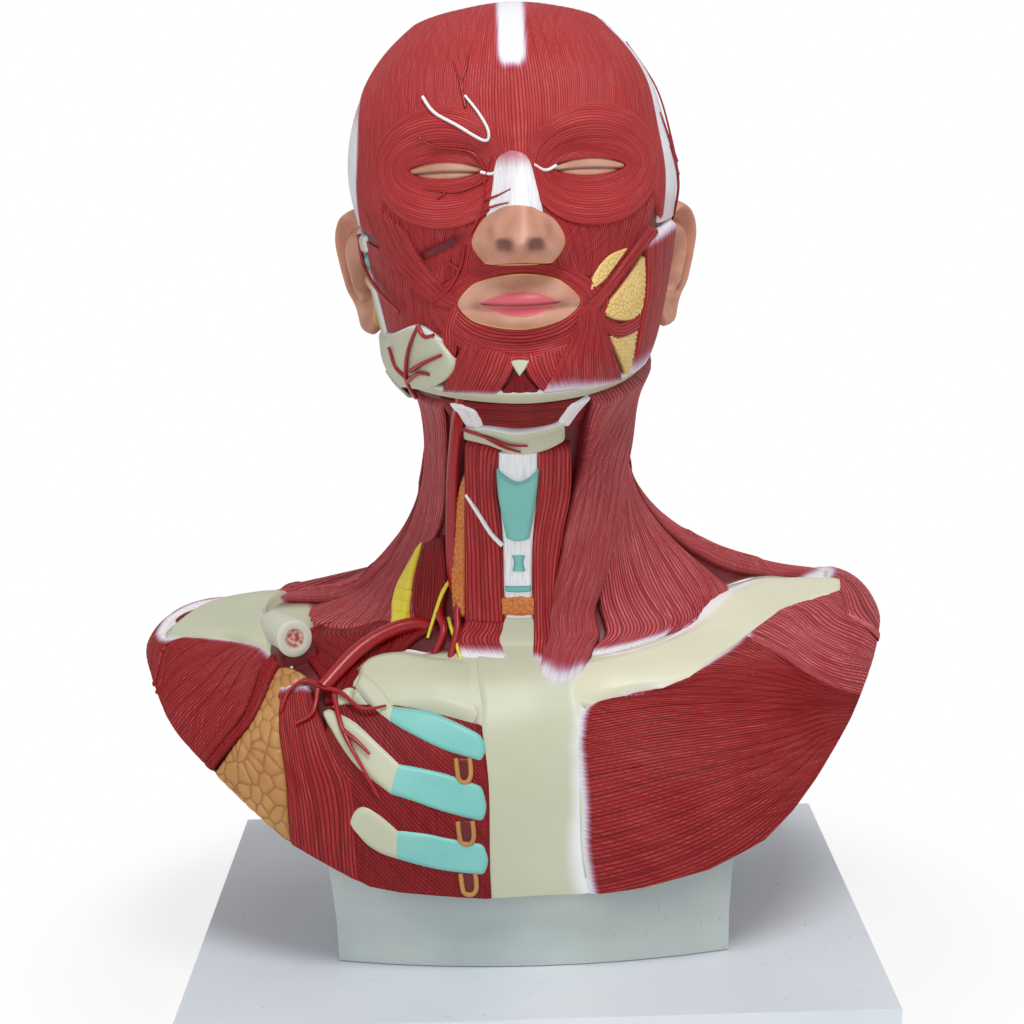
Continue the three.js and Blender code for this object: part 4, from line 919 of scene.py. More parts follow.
def lay_vessel(name, paint, routes, nodes=(), radius=2.0, ends=1.0, sides=10):
    """Tubes that run over the surface. A route is a list of places, each with its middle's height.
    ends is the share of the radius that is left at a tube's end."""
    bpy.ops.object.select_all(action="DESELECT")
    bpy.ops.curve.primitive_nurbs_path_add()
    piece = bpy.context.object
    piece.name = name
    curve = piece.data
    curve.splines.clear()
    curve.dimensions = "3D"
    curve.bevel_depth = radius * MM
    curve.bevel_resolution = sides // 4
    curve.use_fill_caps = True
    for route in routes:
        turn, climb = np.array([place for place, _ in route]).T
        heights = np.array([height for _, height in route])
        middle = surface(turn, climb) + outward(turn, climb) * heights[:, None]
        length = np.linalg.norm(np.diff(middle, axis=0), axis=-1).sum()
        count = max(FEWEST_FACES, round(length / VESSEL_STEP))
        line = to_real(spline(middle, np.linspace(0, len(middle) - 1, count)))
        run = curve.splines.new("POLY")
        run.points.add(count - 1)
        run.points.foreach_set("co", np.c_[line, np.ones(count)].ravel())
        run.points.foreach_set("radius", np.linspace(1, ends, count))
    bpy.ops.object.convert(target="MESH")
    piece = bpy.context.object
    for layer_name, value in (("crest", 1.0), ("shade", 0.0)):
        set_attribute(piece.data, layer_name, np.full(len(piece.data.vertices), value))
    smooth(piece)
    return dress(piece, paint, nodes)


def route(view, *stops):
    """Stops are (first coordinate, second coordinate, height)."""
    places = view(*[stop[:2] for stop in stops])
    return list(zip(places, [stop[2] for stop in stops]))


def both_sides(name, paint, guides, **form):
    """The right sheet of a pair and its mirrored fellow."""
    lay_sheet(name + "_right", paint, guides, **form)
    lay_sheet(name + "_left", paint, mirrored(guides), **form)


# The casting: one closed skin just under the relief

# Over this length the casting falls off beside a bone.
BONE_SLOPE = 4
# The casting's height over the bare surface, and how much more it has under the bones
CASTING_RISE = 0.4
BONE_RISE = 2.6
# How many faces the casting has round it and from bottom to top, and the middle of its bottom
CASTING_NET = (260, 240)
BOTTOM_MIDDLE = (0, -15, RINGS[0, 0])


def near_line(x, z, line, reach):
    """1 within reach of a line of points on the front, fading to 0 beyond it."""
    best = np.full(x.shape, np.inf)
    for (x0, z0), (x1, z1) in zip(line, line[1:]):
        along = ((x - x0) * (x1 - x0) + (z - z0) * (z1 - z0)) / ((x1 - x0) ** 2 + (z1 - z0) ** 2)
        along = np.clip(along, 0, 1)
        best = np.minimum(best, np.hypot(x - x0 - along * (x1 - x0), z - z0 - along * (z1 - z0)))
    return 1 - smooth_step(reach, reach + BONE_SLOPE, best)


# Where bones lie over the casting: lines on the front, and how wide to either side
BONY_LINES = [
    ([(-3, 50), (-3, 156)], 25),
    ([(-80, 158), (-40, 160), (40, 158), (84, 168), (104, 180), (150, 184)], 9),
    ([(-190, 176), (-160, 180), (-122, 176)], 7),
]


def casting_skin():
    """The whole body's closed skin, raised a little where bones lie over it."""
    columns, rows = CASTING_NET
    bpy.ops.object.select_all(action="DESELECT")
    bpy.ops.mesh.primitive_uv_sphere_add(segments=columns, ring_count=rows, radius=1)
    piece = bpy.context.object
    piece.name = "casting_skin"
    mesh = piece.data
    unit = np.empty(len(mesh.vertices) * 3)
    mesh.vertices.foreach_get("co", unit)
    unit = unit.reshape(-1, 3)
    turn = np.arctan2(unit[:, 0], -unit[:, 1])
    climb = (1 - np.arccos(np.clip(unit[:, 2], -1, 1)) / math.pi) * CROWN
    bare = surface(turn, climb, 1)
    bony = np.zeros(len(bare))
    for line, reach in BONY_LINES:
        bony = np.maximum(bony, near_line(bare[:, X], bare[:, Z], line, reach))
    bony = bony * smooth_step(-0.1, 0.2, np.cos(turn))
    height = CASTING_RISE + BONE_RISE * bony
    points = bare + outward(turn, climb) * height[:, None]
    points[climb < 1e-6] = BOTTOM_MIDDLE
    mesh.vertices.foreach_set("co", to_real(points).ravel())
    set_attribute(mesh, "tint", bony)
    mesh.update()
    cut_to_shield(piece, fill=True)
    smooth(piece, 40)
    dress(piece, "casting", "bust_casting")


casting_skin()


# Scalp and forehead


def notch_in_forehead(points, layers):
    """The white tendon that parts the two forehead muscles near the crown, and the shade over the brows."""
    x, z = points[..., X], points[..., Z]
    fade = (1 - smooth_step(2, 10, np.abs(x + 2.5))) * smooth_step(455, 466, z)
    layers["fade"] = np.maximum(layers["fade"], 1.3 * fade)
    brow = np.exp(-(((np.abs(x + 1) - 42) / 26) ** 2) - ((z - 433) / 6) ** 2)
    layers["shade"] = np.maximum(layers["shade"] * 0.4, 0.35 * brow)


lay_sheet("forehead_muscles", "forehead", [
    front((-77, 386), (-77.5, 412), (-76.5, 430)) + right_side((-52, 450), (-50, 466), (-40, 482)),
    front((-69, 384), (-71, 430), (-61, 466), (-44, 482)),
    front((-38, 424), (-44, 454), (-38, 472), (-26, 486)),
    front((-1, 413), (-1, 440), (-2, 464), (-2, 489)),
    front((36, 424), (40, 452), (34, 471), (22, 486)),
    front((66, 384), (67, 420), (62, 448), (52, 467), (38, 482)),
], ["forehead_muscle_right", "forehead_muscle_left"], base=1.4, thick=3.0, roll=4, tips=(2, 3), size=1.2,
    depth=0.17, fade=(0, 0, 7, 5), shade=1.5, step=2.5, seed=11, painter=notch_in_forehead)

lay_sheet("crown_sheet", "fascia", [
    crown_top((-60, -36), (-58, -20), (-54, 22)) + behind((-40, 462)),
    crown_top((-30, -40), (-30, -20), (-27, 24)) + behind((-20, 460)),
    crown_top((0, -42), (0, -20), (0, 26)) + behind((0, 458)),
    crown_top((30, -40), (30, -20), (27, 24)) + behind((20, 460)),
    crown_top((56, -36), (54, -20), (51, 22)) + behind((40, 462)),
], "scalp_sheet", base=0.8, thick=1.9, roll=4, tips=(6, 0), size=2.4, depth=0.14, shade=0, over_crown=True,
    fine=1.1, seed=12)


def temple_blush(points, layers):
    """The temple sheet turns red towards the top of the right side's front edge, and at the cheekbones."""
    y, z = points[..., Y], points[..., Z]
    top = smooth_step(-24, -50, y) * smooth_step(430, 450, z) * (points[..., X] < 0)
    low = 1 - smooth_step(388, 398, z + 0.05 * y)
    layers["shade"] = np.clip(0.95 * top + 0.3 * low, 0, 1)


both_sides("temple_sheet", "fascia", [
    right_side((-86, 384), (-88, 416), (-86, 450), (-54, 478)),
    right_side((-45, 386), (-45, 422), (-45, 454), (-36, 482)),
    right_side((34, 386), (38, 425), (33, 452), (0, 482)),
], base=0.6, thick=1.8, roll=4, size=2.4, depth=0.14, shade=0, fine=1.1, seed=13, painter=temple_blush)
lay_sheet("back_scalp_muscle_relief", "muscle", [
    right_side((30, 392), (34, 420), (30, 448)),
    behind((-52, 394), (-52, 422), (-46, 456)),
    behind((-24, 394), (-24, 422), (-22, 462)),
    behind((24, 394), (24, 422), (22, 462)),
    behind((52, 394), (52, 422), (46, 456)),
    left_side((30, 392), (34, 420), (30, 448)),
], "back_scalp_muscle", base=1.2, thick=3.0, size=1.8, depth=0.3, fade=(0, 14, 4, 4), shade=2.5,
    over_crown=True, fine=0.6, seed=14)

# Eyes

EYE = {"x": 33, "z": 412, "lid_wide": 16.5, "lid_high": 4.2, "ring_wide": 31, "ring_high": 28}


def oval(x, z, wide, high, count=14):
    angles = np.arange(count) * 2 * math.pi / count
    return front(*np.stack([x + wide * np.cos(angles), z + high * np.sin(angles)], -1))


def lid_slit(points, layers):
    """The closed lids meet in a slit across the middle, pressed in and darkened with painted shade."""
    x = np.abs(points[..., X] + 1) - EYE["x"]
    away = np.abs(points[..., Z] - EYE["z"] + 0.7 + 0.004 * x * x)
    slit = np.exp(-((away / 0.8) ** 2))
    points[..., Y] += 0.8 * slit
    layers["shade"] = np.maximum(layers["shade"] * 0.3, slit)


def painted_ring_shade(points, layers):
    """Painted shade under the brow and round the lids, and painted shade along the ring's lower edge, where
    it steps down to the cheek.
    """
    x, z = np.abs(points[..., X] + 1), points[..., Z]
    arch = np.exp(-(((x - 28) / 17) ** 2) - ((z - 421.5 + 0.016 * (x - 28) ** 2) / 3.0) ** 2)
    around = np.exp(-((np.hypot((x - 33) / 20, (z - 412) / 8) - 1) / 0.25) ** 2)
    below = smooth_step(404, 396, z)
    layers["shade"] = np.maximum(layers["shade"] * below, np.maximum(0.8 * arch, 0.3 * around))


for side, word in ((-1, "right"), (1, "left")):
    middle_x = side * EYE["x"] - 1.5
    low, high, wide = EYE["z"] - EYE["lid_high"], EYE["z"] + EYE["lid_high"], EYE["lid_wide"]
    lay_moulding("eyelid_pair_" + word, "skin", [
        front((middle_x - wide, EYE["z"] - 1), (middle_x, low - 1), (middle_x + wide, EYE["z"] - 1)),
        front((middle_x - wide, EYE["z"]), (middle_x, EYE["z"]), (middle_x + wide, EYE["z"])),
        front((middle_x - wide, EYE["z"] + 1), (middle_x, high + 1), (middle_x + wide, EYE["z"] + 1)),
    ], "eyelids_" + word, base=1.4, thick=2.7, roll=3, tips=(2, 2), size=9, depth=0.1, fine=0.35, step=0.6,
        seed=21, painter=lid_slit)
    lay_sheet("eye_ring_" + word, "forehead", [
        oval(middle_x, EYE["z"], wide, EYE["lid_high"] - 0.4),
        oval(middle_x + side * 1, EYE["z"] + 0.5, wide + 7, EYE["lid_high"] + 10),
        oval(middle_x + side * 2, EYE["z"] + 1, EYE["ring_wide"], EYE["ring_high"]),
    ], "eye_ring_muscle_" + word, base=2.95, thick=3.25, roll=(2, 6), size=1.15, depth=0.2, shade=1.2,
        closed=True, fine=0.34, step=1.8, seed=22, painter=painted_ring_shade)

# Ears, each a cupped leaf that stands out from the head

EAR = {"out": 71.5, "middle": -2.5, "y": -26, "z": 360, "flare": 0.62, "sunk": 3}
EAR_OUTLINE = [
    (1, -28), (6, -32), (12, -30), (17, -22), (22, -11), (29, 4), (33, 17), (30, 27), (21, 32), (11, 29.5),
    (4, 23), (1, 12), (0, 2), (-1, -9), (-1, -19),
]
EAR_HEART = np.array([12.0, -3.0])
# The shares of the way from the ear's heart to its rim at which its front and its back have rows,
# and how far behind the front's edge each row of the back lies
EAR_FRONT_ROWS = np.linspace(0, 1, 34)
EAR_BACK_ROWS = {0.985: 1.2, 0.95: 3.0, 0.88: 4.4, 0.7: 5.6, 0.4: 6.4, 0: 6.6}
EAR_COLUMNS = 97


def mound(u, v, middle_u, middle_v, reach_u, reach_v):
    return np.exp(-(((u - middle_u) / reach_u) ** 2) - ((v - middle_v) / reach_v) ** 2)


def ridge_at(share, middle, reach):
    """1 at one share of the way from heart to rim, and 0 beyond its reach."""
    return np.exp(-(((share - middle) / reach) ** 2))


def ear_relief(share, u, v):
    """How far the ear's front stands out; share runs from its heart, 0, to its rim, 1."""
    rimmed = smooth_step(-20, -8, v) * np.maximum(smooth_step(2, 8, u), smooth_step(6, 12, v))
    folded = smooth_step(-17, -8, v) * smooth_step(11, 17, u) * (1 - smooth_step(17, 24, v))
    relief = 3.2 + 2.6 * share**2
    relief = relief + rimmed * (3.2 * ridge_at(share, 0.9, 0.07))
    relief = relief - rimmed * (2.2 * ridge_at(share, 0.76, 0.07))
    relief = relief + 3.0 * folded * ridge_at(share, 0.56, 0.11)
    relief = relief - 6.0 * (1 - smooth_step(0.18, 0.46, share)) - 2.0 * mound(u, v, 7, -8, 4, 7)
    relief = relief + 5.0 * mound(u, v, 2.5, -4, 3.2, 5) + 3.2 * mound(u, v, 10, -17, 4, 3)
    relief = relief + 1.8 * mound(u, v, 8, -26, 6, 5)
    return relief - 3.5 * np.clip((share - 0.93) / 0.07, 0, 1) ** 2


def ear(word, side):
    around = spline(EAR_OUTLINE, np.linspace(0, len(EAR_OUTLINE), EAR_COLUMNS), closed=True)
    shares = np.concatenate([EAR_FRONT_ROWS, list(EAR_BACK_ROWS)])
    backs = np.concatenate([np.zeros(len(EAR_FRONT_ROWS)), list(EAR_BACK_ROWS.values())])
    flat = EAR_HEART + (around[None] - EAR_HEART) * shares[:, None, None]
    u, v = flat[..., 0], flat[..., 1]
    share = np.broadcast_to(shares[:, None], u.shape)
    relief = ear_relief(share, u, v)
    edge = ear_relief(np.ones(u.shape[1]), *around.T)
    stand = np.where(backs[:, None] > 0, edge - backs[:, None], relief) - EAR["sunk"]
    cos, sin = math.cos(EAR["flare"]), math.sin(EAR["flare"])
    points = np.stack([
        side * (EAR["out"] + stand * cos + u * sin) + EAR["middle"],
        EAR["y"] - stand * sin + u * cos,
        EAR["z"] + v,
    ], -1)
    piece = grid_piece("ear_leaf_" + word, points.shape[1] - 1, points.shape[0] - 1)
    mesh = piece.data
    mesh.vertices.foreach_set("co", to_real(points.reshape(-1, 3)).ravel())
    in_front = backs[:, None] == 0
    # Painted shade in the ear's hollows, darkest where its front lies deepest
    deep = np.clip((2.4 - relief) / 5, 0, 1) * in_front
    set_attribute(mesh, "shade", 0.75 * deep)
    set_attribute(mesh, "tint", 0.12 * mound(u, v, 20, 18, 12, 14))
    set_attribute(mesh, "fade", smooth_step(1.6, 0.2, u) * in_front)
    set_attribute(mesh, "crest", np.ones(u.shape))
    mesh.update()
    edit(
        piece,
        lambda: bpy.ops.mesh.remove_doubles(threshold=1e-5),
        lambda: bpy.ops.mesh.normals_make_consistent(inside=False),
    )
    smooth(piece, 60)
    dress(piece, "skin", "ear_" + word)


ear("right", -1)
ear("left", 1)

# Nose and mouth

NOSTRIL = {"x": 7.5, "z": 377.5, "wide": 4.4, "high": 3.4}
WING_FOLD = {"x": 13.5, "z": 384, "wide": 2.0, "high": 5}


def nostrils(points, layers):
    """Two hollows under the tip and a fold over each wing, pressed in and darkened with painted shade."""
    x, z = points[..., X] + 1.5, points[..., Z]
    aside, above = (np.abs(x) - NOSTRIL["x"]) / NOSTRIL["wide"], (z - NOSTRIL["z"]) / NOSTRIL["high"]
    hollow = np.exp(-(aside**2) ** 1.5 - (above**2) ** 1.5)
    fold = 0.35 * mound(np.abs(x), z, WING_FOLD["x"], WING_FOLD["z"], WING_FOLD["wide"], WING_FOLD["high"])
    points[..., Y] += 3.6 * hollow + 0.8 * fold
    points[..., Z] += 1.2 * hollow
    layers["shade"] = np.clip(1.2 * hollow + fold, 0, 1)


lay_moulding("nose_skin", "skin", [
    front((-17, 369), (-23, 378), (-18, 389), (-9, 395)),
    front((-8, 368), (-9, 380), (-7, 390), (-4, 396.5)),
    front((4, 368), (5, 380), (4, 390), (2, 396.5)),
    front((13, 369), (19, 378), (15, 388), (6, 394)),
], "nose_tip", base=2.2, thick=3.2, roll=1.6, tips=(1.6, 1.6), size=12, depth=0.1, fade=(1.6, 0, 1.2, 1.2),
    shade=0, fine=0.45, step=0.6, seed=31, painter=nostrils)


def bridge_blush(points, layers):
    """The white bridge turns red towards the brows."""
    layers["shade"] = 0.9 * smooth_step(411, 420, points[..., Z])


lay_sheet("nose_bridge_sheet", "fascia", [
    front((-17, 389), (-14, 403), (-12.5, 414), (-9.5, 419)),
    front((-4, 392), (-4, 405), (-4, 417), (-4, 421.5)),
    front((10, 389), (8, 403), (5.5, 414), (2.5, 419)),
], "nasal_bridge", base=1.2, thick=3.5, roll=2.5, tips=(9, 3), size=2.0, depth=0.1, shade=0, fine=0.5,
    seed=32, painter=bridge_blush)


MOUTH = {"z": 350.2, "half_width": 20, "upper_lip": 6.5, "lower_lip": 5.5}


def lip_tint_and_shade(points, layers):
    """Pink lips with a pressed-in line between them, and painted shade in that line and at the corners."""
    x, z = points[..., X] + 2, points[..., Z]
    middle = MOUTH["z"] + 0.002 * x * x
    reach = np.clip(1 - (x / MOUTH["half_width"]) ** 2, 0, 1)
    upper = smooth_step(0, 0.8, z - middle) * smooth_step(0, 1.2, middle + MOUTH["upper_lip"] * reach - z)
    lower = smooth_step(0, 0.8, middle - z) * smooth_step(0, 1.2, z - middle + MOUTH["lower_lip"] * reach)
    layers["tint"] = np.clip(upper + lower, 0, 1)
    slit = np.exp(-(((z - middle) / 0.7) ** 2)) * (1 - smooth_step(17, 20, np.abs(x)))
    points[..., Y] += 0.8 * slit - 0.8 * (upper + lower)
    corner = mound(np.abs(x), z, MOUTH["half_width"], 350, 3.5, 2.5)
    layers["shade"] = np.clip(0.7 * slit + 0.45 * corner, 0, 1)


lay_moulding("lips", "skin", [
    front((-28, 346.5), (-21, 341.5), (-2, 338.5), (15, 341.5), (23, 346.5)),
    front((-30, 350.5), (-18, 350), (-2, 350), (13, 350), (25, 350.5)),
    front((-28, 354.5), (-21, 360.5), (-3, 364), (14, 361.5), (23, 354.5)),
], "lip_patch", base=2.0, thick=3.2, roll=1.4, tips=(1.5, 1.5), size=12, depth=0.1,
    fade=(1.4, 1.4, 1.5, 1.5), shade=0, fine=0.35, step=0.6, seed=33, painter=lip_tint_and_shade)
lay_sheet("mouth_ring", "muscle", [
    front((-29, 350.5), (-20, 359.5), (-3, 364), (13, 361), (24, 350.5), (14, 343), (-2, 339), (-20, 343)),
    front((-36, 350), (-24, 363), (-3, 367), (17, 363), (31, 350), (20, 335), (-2, 330), (-24, 335)),
    front((-44, 349), (-27, 366), (-3, 370), (21, 366), (39, 350), (26, 330), (-2, 323), (-30, 330)),
], "mouth_ring_muscle", base=1.6, thick=2.8, roll=(1.6, 4), size=1.5, depth=0.3, closed=True, fine=0.38,
    step=1.6, seed=34)

# Face muscles

# The crease under the right eye ring: a place on its middle line, how that climbs, its reach and depth
CREASE = {"x": -49, "z": 371.5, "climb": 0.46, "reach": 2.7, "depth": 2.6}


def cheek_crease(points, layers):
    """The deep crease under the eye ring, beside the nose, pressed in and darkened with painted shade."""
    x, z = points[..., X], points[..., Z]
    middle = CREASE["z"] + CREASE["climb"] * (x - CREASE["x"])
    crease = np.exp(-(((z - middle) / CREASE["reach"]) ** 2))
    crease = crease * smooth_step(-55, -45, x) * (1 - smooth_step(-34, -23, x))
    points[..., Y] += CREASE["depth"] * crease
    layers["shade"] = np.maximum(layers["shade"] * 0.5, 0.95 * crease)


CHEEK_LINES = [
    [(-9, 412), (-12, 394), (-14, 378), (-16, 362)],
    [(-20, 398), (-24, 386), (-27, 374), (-29, 361)],
    [(-36, 388), (-38, 380), (-38, 370), (-36, 360)],
    [(-52, 394), (-50, 378), (-46, 366), (-39, 356)],
    [(-70, 404), (-62, 380), (-50, 364), (-42, 353)],
]
# The face's middle stands a little to the right, so the left strands start this much nearer to it.
CHEEK_SHIFT = -4
CHEEK_STRANDS = [front(*line) for line in CHEEK_LINES]
CHEEK_STRANDS_LEFT = [front(*[(CHEEK_SHIFT - x, z) for x, z in line]) for line in CHEEK_LINES]
lay_sheet("nose_wing_strands_right", "muscle", CHEEK_STRANDS, "nose_wing_muscle_right", base=0.6,
    thick=2.2, roll=2, tips=(2, 3), size=1.6, depth=0.3, step=1.4, seed=41, painter=cheek_crease)
lay_sheet("nose_wing_strands_left", "muscle", CHEEK_STRANDS_LEFT, "nose_wing_muscle_left", base=0.6,
    thick=2.2, roll=2, tips=(2, 3), size=1.6, depth=0.3, step=1.4, seed=41)
lay_sheet("cheek_strands_right", "muscle", [
    front((-75, 396), (-64, 371), (-54, 360), (-44, 351), (-33, 346)),
    front((-66, 396), (-57, 373), (-47, 361), (-39, 353), (-31, 348)),
    front((-52, 384), (-47, 373), (-40, 363), (-34, 357), (-27, 352)),
], "cheek_muscle_right", base=1.0, thick=3.6, roll=3, tips=(3, 5), size=1.7, depth=0.4, shade=1.2, seed=42)
lay_sheet("cheek_strands_left", "muscle", [
    front((64, 381), (52, 368), (41, 355), (31, 343)),
    front((58, 384), (46, 369), (36, 357), (27, 349)),
], "cheek_muscle_left", base=2.0, thick=4.4, roll=3, tips=(3, 5), size=1.7, shade=1.2, seed=42)
CHEEK_FLOOR = [
    front((-30, 328), (-30, 345), (-34, 362)),
    front((-46, 326), (-48, 345), (-50, 368)),
    front((-60, 328), (-62, 350), (-64, 374)),
    right_side((-52, 326), (-52, 350), (-54, 380)),
]
both_sides("cheek_floor", "muscle", CHEEK_FLOOR, thick=1.5, roll=4, size=1.8, fine=0.45, seed=45)
lay_sheet("jaw_strands_left", "muscle", [
    front((56, 378), (56, 352), (52, 333), (48, 312)),
    left_side((-70, 384), (-62, 352)) + front((62, 330), (56, 314)),
    left_side((-50, 384), (-42, 350), (-40, 316)),
], "jaw_muscle_left", base=1.0, thick=4.4, tips=(4, 3), size=1.8, depth=0.4, fade=(8, 16, 0, 0), fine=0.45,
    seed=43)
lay_sheet("smile_strands_left", "muscle", [
    front((55, 334), (42, 331), (31, 340)),
    front((54, 343), (43, 338.5), (31, 347)),
], base=1.5, thick=3.4, roll=3, tips=(1, 3), size=1.6, depth=0.3, seed=46)
lay_sheet("mouth_corner_fan_left", "muscle", [
    front((24, 345), (20, 334), (13, 322), (6, 310)),
    front((28, 350), (26, 336), (21, 322), (20, 310)),
    front((31, 350), (32, 338), (33, 324), (34, 310)),
    front((33, 345), (37, 334), (40, 324), (45, 311)),
], "mouth_corner_muscle_left", base=1.2, thick=3.8, roll=2.5, tips=(4, 2), size=1.7, fade=(0, 9, 0, 0),
    fine=0.38, seed=44)
lay_sheet("mouth_corner_fan_right", "muscle", [
    front((-28, 349), (-31, 338), (-31, 328), (-38, 314)),
    front((-33, 352), (-37, 340), (-38, 330), (-44, 318)),
], "mouth_corner_muscle_right", base=1.2, thick=3.2, roll=2.5, tips=(4, 2), size=1.7, fine=0.38, seed=44)
lay_sheet("lower_lip_strands_right", "muscle", [
    front((-28, 333), (-33, 322), (-40, 309)),
    front((-18, 331), (-22, 321), (-28, 309)),
    front((-3.5, 328), (-6, 320), (-14, 309)),
], base=1.0, thick=3.2, roll=2.5, tips=(2, 2), size=1.6, fade=(0, 7, 0, 0), fine=0.38, seed=47)
lay_sheet("lower_lip_strands_left", "muscle", [
    front((-3, 328), (-0.5, 320), (8, 309)),
    front((10, 330), (12, 320), (17, 309)),
    front((20, 333), (22, 322), (26, 309)),
], base=1.0, thick=2.8, roll=2.5, tips=(2, 2), size=1.6, fade=(0, 7, 0, 0), fine=0.38, seed=48)
lay_sheet("chin_fan", "dark_muscle", [
    front((-5, 319), (-9, 314), (-14, 308.5)),
    front((-3.2, 320), (-3.2, 308)),
    front((-1, 319), (3, 314), (8, 308.5)),
], base=1.0, thick=2.4, roll=2, tips=(2, 1), size=1.5, depth=0.3, fine=0.38, step=1.0, seed=49)
lay_moulding("chin_bone_window", "bone", [
    front((-7, 324.5), (-3.2, 318)),
    front((-3, 325), (-3, 318)),
    front((1.5, 324.5), (-2.8, 318)),
], base=2.4, thick=3.4, roll=1, tips=(0.8, 0.5), size=5, depth=0.1, shade=0, step=0.5, seed=50)
lay_lobes("cheek_fat_leaf", "pale_fat", [
    front((49, 374), (43, 366), (37, 359), (28.5, 353)),
    front((49, 374), (40, 371), (33, 364), (28.5, 354)),
], base=1.6, thick=3.0, roll=2, tips=(2, 2), size=2.4, seed=56)
lay_lobes("cheek_fat_corner", "pale_fat", [
    front((55, 369), (46, 357), (34, 345)),
    front((56, 369), (52, 350), (42, 340)),
    front((57, 369), (57, 352), (54, 338)),
], base=1.2, thick=2.8, roll=2, tips=(2, 2), size=2.6, seed=57)
lay_lobes("cheek_fat_lower", "pale_fat", [
    front((38, 334), (43, 322), (47, 312)),
    front((46, 334), (48, 322), (48, 312)),
    front((54, 334), (52, 322), (49, 312)),
], base=1.0, thick=2.6, roll=2, tips=(1, 2), size=2.6, seed=58)

# Jaw, bared on the right


def jaw_corner(points, layers):
    """The corner of the jaw stands out from the neck."""
    x, z = points[..., X], points[..., Z]
    points[..., X] -= 3 * (1 - smooth_step(312, 334, z)) * (1 - smooth_step(-64, -52, x))


lay_moulding("jaw_branch", "bone", [
    right_side((-30, 300), (-50, 300)) + front((-60, 302.5), (-50, 309), (-36, 315)),
    right_side((-30, 319), (-52, 319)) + front((-62, 321), (-48, 324), (-31, 323)),
    right_side((-34, 333), (-52, 333)) + front((-63, 334), (-50, 340), (-38, 334)),
], "jaw_branch_right", base=1.2, thick=5.0, roll=(2.5, 4), tips=(4, 3), size=14, fade=(3, 0, 2, 2),
    fine=0.9, step=0.9, seed=51, painter=jaw_corner)
lay_moulding("jaw_branch_top", "bone", [
    right_side((-42, 326), (-46, 348), (-50, 362)),
    right_side((-64, 326), (-63, 346), (-60, 362)),
], base=0.8, thick=3.6, roll=5, tips=(0, 3), size=14, fade=(3, 3, 4, 4), fine=0.9, step=0.9, seed=52)
lay_moulding("jaw_joint_root", "bone", [
    right_side((-40, 374), (-54, 372), (-66, 373)),
    right_side((-40, 384), (-54, 382), (-68, 381)),
], base=0.8, roll=3, tips=(3, 3), size=8, fade=(2, 2, 2, 2), fine=0.8, step=1.0, seed=54)
lay_moulding("jaw_joint_disc", "cartilage", [
    right_side((-42, 363), (-50, 363), (-60, 364)),
    right_side((-42, 371), (-50, 372), (-60, 371)),
], base=0.8, thick=3.4, roll=3, tips=(2, 2), size=8, depth=0.2, shade=2.5, fine=0.8, step=1.0, seed=55)
lay_moulding("jaw_edge_bone", "bone", [
    right_side((-26, 308)) + front((-60, 307), (-41, 305.5), (-3, 305), (35, 306.5), (54, 310))
    + left_side((-36, 311)),
    right_side((-26, 314)) + front((-62, 312), (-41, 311), (-3, 311.5), (35, 312), (56, 315))
    + left_side((-36, 318)),
], "jaw_edge", base=1.0, thick=3.0, tips=(4, 4), size=14, depth=0.15, fade=(0, 0, 0, 3), shade=0.6,
    fine=0.7, step=1.4, seed=53)

# Throat

lay_moulding("tongue_bone", "bone", [
    front((-29, 282), (-18, 280), (-5, 275), (8, 277), (17, 282)),
    front((-29, 289), (-18, 291), (-5, 289), (8, 291), (17, 294)),
], "hyoid_bone", base=2.5, thick=6.0, tips=(2.5, 2.5), size=10, depth=0.25, fade=(2, 2, 1.5, 1.5),
    shade=0.6, fine=0.5, step=1.0, seed=61)
lay_moulding("throat_plate", "cartilage", [
    front((-14.5, 268), (-14, 252), (-11, 230)),
    front((-4.5, 261), (-5, 246), (-5.5, 229)),
    front((5, 268), (3.5, 252), (0, 230)),
], "throat_shield", base=3.0, thick=8.0, roll=5, tips=(2.5, 2.5), size=12, fine=0.6, step=1.0, seed=62)
lay_lobes("gland_bridge_lobes", "gland", [
    front((-14, 189), (-6, 188.5), (1, 189)),
    front((-14, 200), (-6, 201), (1, 200)),
], "gland_bridge", base=1.5, thick=6, roll=3, size=2.8, depth=0.6, shade=0.8, fine=0.45, seed=63)
lay_lobes("gland_lobe", "gland", [
    front((-38.5, 187), (-37, 228), (-31, 262)),
    front((-32, 187), (-30, 228), (-28, 262)),
], "gland_lobe_right", base=1.5, thick=5, roll=2.5, tips=(3, 8), size=2.6, depth=0.6, shade=0.8, step=0.6,
    seed=64)
lay_sheet("throat_membrane", "fascia", [
    front((-13.5, 188), (-13.5, 212), (-14, 250), (-14, 276)),
    front((1, 188), (1, 212), (4, 250), (5, 276)),
], "throat_lining", base=1.0, thick=4.5, roll=2.5, size=2.4, depth=0.25, shade=0, fine=0.45, seed=65)
lay_moulding("throat_ring_upper", "cartilage", [
    front((-9, 222), (-8, 218), (-9, 213)),
    front((-2, 222), (-3, 218), (-2, 213)),
], base=3.0, thick=5.6, roll=1.5, tips=(1, 1), size=6, depth=0.2, shade=2.5, fine=0.5, step=0.7, seed=66)
lay_moulding("throat_ring_lower", "cartilage", [
    front((-12.5, 202.5), (-6, 202), (0, 202.5)),
    front((-12.5, 206), (-6, 206), (0, 206)),
], base=3.0, thick=5.6, roll=1.5, tips=(1, 1), size=6, depth=0.2, shade=2.5, fine=0.5, step=0.7, seed=66)
lay_sheet("throat_strands_right", "muscle", [
    front((-29, 281), (-30, 255), (-31, 229), (-34, 184)),
    front((-21, 280), (-22, 255), (-22, 229), (-23, 184)),
    front((-12, 277), (-14, 255), (-12.5, 229), (-12.5, 184)),
], "throat_muscle_right", base=1.5, thick=5.8, roll=4, tips=(3, 2), size=2.0, depth=0.45, shade=1.2,
    seed=67)
